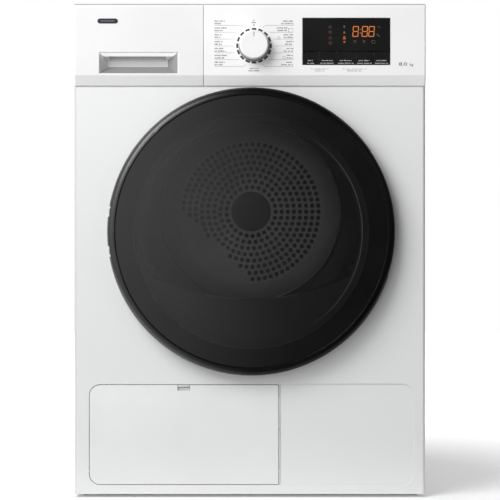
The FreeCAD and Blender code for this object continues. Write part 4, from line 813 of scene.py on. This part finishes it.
LATCH_LOW, LATCH_HIGH = limits("flap_latch")
FLAP_LOW, FLAP_HIGH = limits("service_flap")
LATCH_X = (LATCH_LOW.x + LATCH_HIGH.x) / 2
NOTCH_HALF = 0.0099
NOTCH_FLOOR = FLAP_HIGH.z - 0.0081
TAB_FOOT = FLAP_HIGH.z - 0.0038
NOTCH_SHADOW_WIDTH = 0.0009                             # width of the painted shadow round the notch
GUIDE_Y = LATCH_LOW.y + 0.0041              # face of the latch's guide, behind the flap
notch_shadow = Flat(FLAP_LOW.y)
for edge_x in (LATCH_X - NOTCH_HALF - NOTCH_SHADOW_WIDTH, LATCH_X + NOTCH_HALF):
    notch_shadow.bar(edge_x, edge_x + NOTCH_SHADOW_WIDTH, NOTCH_FLOOR - NOTCH_SHADOW_WIDTH, FLAP_HIGH.z - 0.0003)
notch_shadow.bar(LATCH_X - NOTCH_HALF, LATCH_X + NOTCH_HALF, NOTCH_FLOOR - NOTCH_SHADOW_WIDTH, NOTCH_FLOOR)
notch_shadow.done("latch_notch_painted_shadow", INK_FAINT, "flap", "grey_moulding")
# painted shadow under the latch's tab
shadow = Flat(GUIDE_Y)
shadow.bar(LATCH_X - NOTCH_HALF + 0.0005, LATCH_X + NOTCH_HALF - 0.0005, TAB_FOOT - 0.0013, TAB_FOOT - 0.0001)
shadow.done("latch_shadow_line", INK_FAINT, "latch", "grey_moulding")


# ---------------------------------------------------------------- badge and capacity mark

BADGE_X0 = TANK_LOW.x + 0.040
BADGE_X1 = BADGE_X0 + 0.035
BADGE_Z = TANK_HIGH.z - 0.030
BADGE_THICK = 0.0006
BADGE_HALF = 0.0042
badge = Flat(FACE_Y, BADGE_THICK)
turns = [math.pi * (i / 8 - 0.5) for i in range(9)]
right_end = [(BADGE_X1 - BADGE_HALF + BADGE_HALF * math.cos(a), BADGE_Z + BADGE_HALF * math.sin(a)) for a in turns]
left_end = [(BADGE_X0 + BADGE_HALF - BADGE_HALF * math.cos(a), BADGE_Z - BADGE_HALF * math.sin(a)) for a in turns]
badge.polygon(right_end + left_end)
badge.done("maker_plate", BADGE_LOOK, "tank", "window_black")
inlay = Flat(FACE_Y - BADGE_THICK)
inlay.bar(BADGE_X0 + 0.006, BADGE_X1 - 0.006, BADGE_Z - 0.0003, BADGE_Z + 0.0003)
inlay.done("maker_plate_inlay", INK_LIGHT, "tank", "light_moulding")


def wording(name, text, size, stretch, x, z, face_y, material, body):
    """Generic wide figures as a thin raised mesh, with their lower left corner at (x, z)."""
    curve = bpy.data.curves.new(name, "FONT")
    curve.body = text
    curve.size = size
    curve.offset = size * 0.012
    curve.extrude = (INK_PROUD + INK_SUNK) / 2
    thing = bpy.data.objects.new(name + "_curve", curve)
    bpy.context.scene.collection.objects.link(thing)
    bpy.context.view_layer.update()
    mesh = bpy.data.meshes.new_from_object(thing)
    mesh.name = name
    bpy.data.objects.remove(thing)
    bpy.data.curves.remove(curve)
    shift = face_y + (INK_SUNK - INK_PROUD) / 2
    for vertex in mesh.vertices:
        across, up, out = vertex.co
        vertex.co = (x + across * stretch, shift - out, z + up)
    mesh.materials.clear()
    return place(name, mesh, material, body)


CAPACITY_Z = WINDOW_LOW.z - 0.0245
wording("capacity_figure", "8.0", 0.0080, 1.5, PANEL_RIGHT - 0.0460, CAPACITY_Z, FACE_Y, INK_GREY,
        "cabinet")
wording("capacity_unit", "kg", 0.0060, 1.15, PANEL_RIGHT - 0.0277, CAPACITY_Z, FACE_Y, INK_GREY,
        "cabinet")


# ---------------------------------------------------------------- display

DISPLAY_Y = WINDOW_LOW.y
DIGIT_W = 0.0102
DIGIT_H = 0.0182
DIGIT_Z = WINDOW_LOW.z + 0.0246
DIGIT_X = [WINDOW_LOW.x + d for d in (0.0854, 0.1010, 0.1125)]
SEGMENT = 0.0014
LEAN = 0.07                      # sideways shift of the figures for each unit of height


def seven_segments(flat, x, z):
    """A full figure eight made of seven bevelled bars, leaning a little."""
    bars = []
    h = DIGIT_H / 2
    cut = SEGMENT / 2
    gap = 0.0003
    for level in range(3):
        zc = min(max(z + level * h, z + cut), z + DIGIT_H - cut)
        x0 = x + gap
        x1 = x + DIGIT_W - gap
        bars.append([(x0, zc), (x0 + cut, zc - cut), (x1 - cut, zc - cut), (x1, zc), (x1 - cut, zc + cut),
                     (x0 + cut, zc + cut)])
    for low in (z, z + h):
        for xc in (x + cut, x + DIGIT_W - cut):
            z0 = low + SEGMENT * 0.55
            z1 = low + h - SEGMENT * 0.55
            bars.append([(xc, z0), (xc + cut, z0 + cut), (xc + cut, z1 - cut), (xc, z1), (xc - cut, z1 - cut),
                         (xc - cut, z0 + cut)])
    for outline in bars:
        flat.polygon([(px + (pz - z - DIGIT_H / 2) * LEAN, pz) for px, pz in outline])


digits = Flat(DISPLAY_Y)
for x in DIGIT_X:
    seven_segments(digits, x, DIGIT_Z)
for dz in (0.0058, 0.0118):
    digits.bar(DIGIT_X[0] + 0.0124, DIGIT_X[0] + 0.0137, DIGIT_Z + dz, DIGIT_Z + dz + 0.0013)
digits.done("display_digits", LIT, "cabinet", "window_black")

dim = Flat(DISPLAY_Y)
COLUMN_X = WINDOW_LOW.x + 0.0471
for i, dz in enumerate((0.0417, 0.0326, 0.0230, 0.0143)):
    z = WINDOW_LOW.z + dz
    if i % 2:
        dim.ring(COLUMN_X, z, 0.0018, 0.0026)
    else:
        dim.line([(COLUMN_X - 0.0027, z), (COLUMN_X, z + 0.0021), (COLUMN_X + 0.0027, z)], 0.0008)
        dim.line([(COLUMN_X - 0.0027, z - 0.0019), (COLUMN_X + 0.0027, z - 0.0019)], 0.0008)
for x, z in ((0.0892, 0.0160), (0.1049, 0.0160)):
    x += WINDOW_LOW.x
    z += WINDOW_LOW.z
    dim.line([(x - 0.0024, z + 0.0026), (x, z - 0.0026), (x + 0.0024, z + 0.0026)], 0.0008)
    dim.ring(x, z + 0.0012, 0.0004, 0.0012)
dim.done("display_icons_dim", DIM, "cabinet", "window_black")

glow = Flat(DISPLAY_Y)
GLOW_X = WINDOW_LOW.x + 0.0712
for dz, size in ((0.0318, 0.0018), (0.0230, 0.0028)):
    z = WINDOW_LOW.z + dz
    glow.polygon([(GLOW_X - size, z - size), (GLOW_X + size, z - size), (GLOW_X + size * 0.45, z + size),
                  (GLOW_X - size * 0.45, z + size)])
z = WINDOW_LOW.z + 0.0158
glow.polygon([(GLOW_X - 0.0022, z), (GLOW_X, z - 0.0022), (GLOW_X + 0.0022, z), (GLOW_X, z + 0.0022)])
glow.done("display_icons_glow", GLOW, "cabinet", "window_black")

pale = Flat(DISPLAY_Y)
z = WINDOW_LOW.z + 0.0416
pale.ring(GLOW_X, z + 0.0006, 0.0007, 0.0016)
pale.bar(GLOW_X - 0.0004, GLOW_X + 0.0004, z - 0.0030, z - 0.0014)
x = WINDOW_LOW.x + 0.1208
z = WINDOW_LOW.z + 0.0160
pale.frame(x - 0.0027, x + 0.0027, z - 0.0024, z + 0.0022, 0.0006)
x = WINDOW_LOW.x + 0.1291
z = WINDOW_LOW.z + 0.0400
pale.line([(x - 0.0022, z + 0.0020), (x + 0.0022, z + 0.0020), (x + 0.0022, z - 0.0018)], 0.0005)
z = WINDOW_LOW.z + 0.0270
pale.line([(x - 0.0026, z + 0.0024), (x + 0.0022, z - 0.0022)], 0.0011)
pale.done("display_icons_pale", PALE, "cabinet", "window_black")


# ---------------------------------------------------------------- key legends

for number in range(1, 6):
    low, high = limits("key_%d" % number)
    middle = (low.x + high.x) / 2
    reach = (high.x - low.x) / 2 * (0.42 if number == 1 else 0.84)
    legend = Flat(low.y)
    legend.words(middle - reach * 0.8, middle + reach * 0.8, low.z + 0.0064, 0.0019, 20 + number)
    legend.words(middle - reach, middle + reach, low.z + 0.0017, 0.0021, 30 + number)
    legend.done("key_%d_legend" % number, INK_KEYS, "button_%d" % number, "light_moulding")

below = Flat(FACE_Y)
for x0, x1, seed in ((0.0137, 0.0445, 3), (0.0690, 0.1093, 4)):
    x0 += WINDOW_LOW.x
    x1 += WINDOW_LOW.x
    z = WINDOW_LOW.z - 0.0302
    below.line([(x0, z + 0.0016), (x0 + 0.0012, z), (x0 + 0.0055, z)], 0.0005)
    below.line([(x1, z + 0.0016), (x1 - 0.0012, z), (x1 - 0.0055, z)], 0.0005)
    below.words(x0 + 0.0065, x1 - 0.0065, z - 0.0008, 0.0016, seed)
    below.words(x0 + 0.0075, x1 - 0.0075, z - 0.0040, 0.0017, seed + 50)
below.done("key_brackets", INK_FAINT, "cabinet", "grey_moulding")


# ---------------------------------------------------------------- stage

def stage_disc(name, radius, centre_y, z):
    """Pale floor whose far part fades into the bright backdrop."""
    ring = bmesh.new()
    bmesh.ops.create_circle(ring, cap_ends=True, radius=radius, segments=96)
    mesh = bpy.data.meshes.new(name)
    ring.to_mesh(mesh)
    ring.free()
    for vertex in mesh.vertices:
        vertex.co.y += centre_y
        vertex.co.z += z
    disc = bpy.data.objects.new(name, mesh)
    bpy.context.scene.collection.objects.link(disc)
    look = Look(name + "_paper")
    slow = look.noise(2.0, 2.0)
    look.colour(look.shade(slow, (0.84, 0.84, 0.84), (0.87, 0.87, 0.87)))
    look.roughness(look.spread(slow, 0.85, 0.95))
    reach = look.add("ShaderNodeVectorMath", operation="LENGTH")
    look.join(look.place, reach.inputs[0])
    look.join(look.spread(reach.outputs["Value"], 0.3, 1.0, 0.45, 1.2), look.shader.inputs["Emission Strength"])
    look.set(Specular_IOR_Level=0.1, Emission_Color=(1.0, 1.0, 1.0, 1.0))
    mesh.materials.append(look.done())


stage_disc("studio_floor", 3.0, 2.58, -0.0005)


def soft_light(name, location, target, size, watts):
    """Square softbox that faces a target."""
    data = bpy.data.lights.new(name, "AREA")
    data.energy = watts
    data.size = size
    lamp = bpy.data.objects.new(name, data)
    lamp.location = location
    lamp.rotation_euler = (Vector(target) - Vector(location)).to_track_quat("-Z", "Y").to_euler()
    bpy.context.scene.collection.objects.link(lamp)


soft_light("key_softbox", (-1.5, -1.9, 2.2), (0.0, -0.2, 0.45), 1.8, 65.0)
soft_light("fill_softbox", (2.4, -2.6, 1.6), (0.0, 0.0, 0.4), 1.8, 7.0)
soft_light("top_softbox", (0.0, 1.5, 3.2), (0.0, 0.6, 0.0), 2.2, 12.0)
soft_light("back_softbox", (0.9, 3.0, 2.0), (0.0, 0.0, 0.4), 2.0, 17.0)

AHEAD = 2.12                     # strength of the surroundings in front, at their brightest
BEHIND_SHARE = 0.35              # of that strength, kept behind the machine
BEHIND_GLOW = 0.12               # and added to it there
world = bpy.data.worlds.new("studio")
bpy.context.scene.world = world
world.use_nodes = True
sky = world.node_tree
backdrop = sky.nodes["Background"]
direction = sky.nodes.new("ShaderNodeTexCoord")
axes = sky.nodes.new("ShaderNodeSeparateXYZ")
sky.links.new(direction.outputs["Generated"], axes.inputs["Vector"])


def sky_ramp(source, start, end, stops):
    """Smooth run of strengths over one component of the direction, from start to end."""
    share = sky.nodes.new("ShaderNodeMapRange")
    share.inputs["From Min"].default_value = start
    share.inputs["From Max"].default_value = end
    sky.links.new(source, share.inputs["Value"])
    ramp = sky.nodes.new("ShaderNodeValToRGB")
    ramp.color_ramp.interpolation = "B_SPLINE"
    points = ramp.color_ramp.elements
    while len(points) < len(stops):
        points.new(0.5)
    for point, (position, level) in zip(points, stops):
        point.position = position
        point.color = (level, level, level, 1.0)
    sky.links.new(share.outputs["Result"], ramp.inputs["Fac"])
    return ramp.outputs["Color"]


def sky_math(operation, first, second):
    """Arithmetic on two strengths, each an output socket or a number."""
    node = sky.nodes.new("ShaderNodeMath")
    node.operation = operation
    for socket, value in zip(node.inputs, (first, second)):
        if isinstance(value, (int, float)):
            socket.default_value = value
        else:
            sky.links.new(value, socket)
    return node.outputs["Value"]


sideways = sky_ramp(axes.outputs["X"], -0.3, 0.2,
                    [(0.0, 1.0), (0.28, 0.86), (0.42, 0.68), (0.6, 0.2), (0.75, 0.06)])
upward = sky_ramp(axes.outputs["Z"], -0.4, 0.9,
                  [(0.0, 0.45), (0.18, 0.45), (0.35, 0.75), (0.5, 1.0), (0.75, 0.2)])
far_left = sky_ramp(axes.outputs["X"], -1.0, -0.6, [(0.0, 0.3), (1.0, 1.0)])
ahead = sky_math("MULTIPLY", sky_math("MULTIPLY", sideways, upward), sky_math("MULTIPLY", far_left, AHEAD))
behind = sky.nodes.new("ShaderNodeMath")
behind.operation = "GREATER_THAN"
behind.inputs[1].default_value = 0.0
sky.links.new(axes.outputs["Y"], behind.inputs[0])
either = sky.nodes.new("ShaderNodeMix")
sky.links.new(behind.outputs["Value"], either.inputs["Factor"])
sky.links.new(ahead, either.inputs[2])
sky.links.new(sky_math("ADD", sky_math("MULTIPLY", ahead, BEHIND_SHARE), BEHIND_GLOW), either.inputs[3])

# the camera itself sees plain white
seen = sky.nodes.new("ShaderNodeLightPath")
final = sky.nodes.new("ShaderNodeMix")
sky.links.new(seen.outputs["Is Camera Ray"], final.inputs["Factor"])
sky.links.new(either.outputs[0], final.inputs[2])
final.inputs[3].default_value = 1.0
sky.links.new(final.outputs[0], backdrop.inputs["Strength"])
backdrop.inputs["Color"].default_value = (1.0, 1.0, 1.0, 1.0)

view = bpy.context.scene.view_settings
view.view_transform = "Standard"
view.look = "None"

CAMERA_REACH = 2.9               # from the front sheet
VIEW_WIDTH = 0.855               # seen across the picture at the front sheet
lens_data = bpy.data.cameras.new("camera")
lens_data.sensor_width = 36.0
lens_data.lens = lens_data.sensor_width * CAMERA_REACH / VIEW_WIDTH
camera = bpy.data.objects.new("camera", lens_data)
camera.location = (0.0003, SHEET_Y - CAMERA_REACH, (CAD_BOX[0][2] + CAD_BOX[1][2]) / 2)
camera.rotation_euler = (math.pi / 2, 0.0, 0.0)
bpy.context.scene.collection.objects.link(camera)
bpy.context.scene.camera = camera
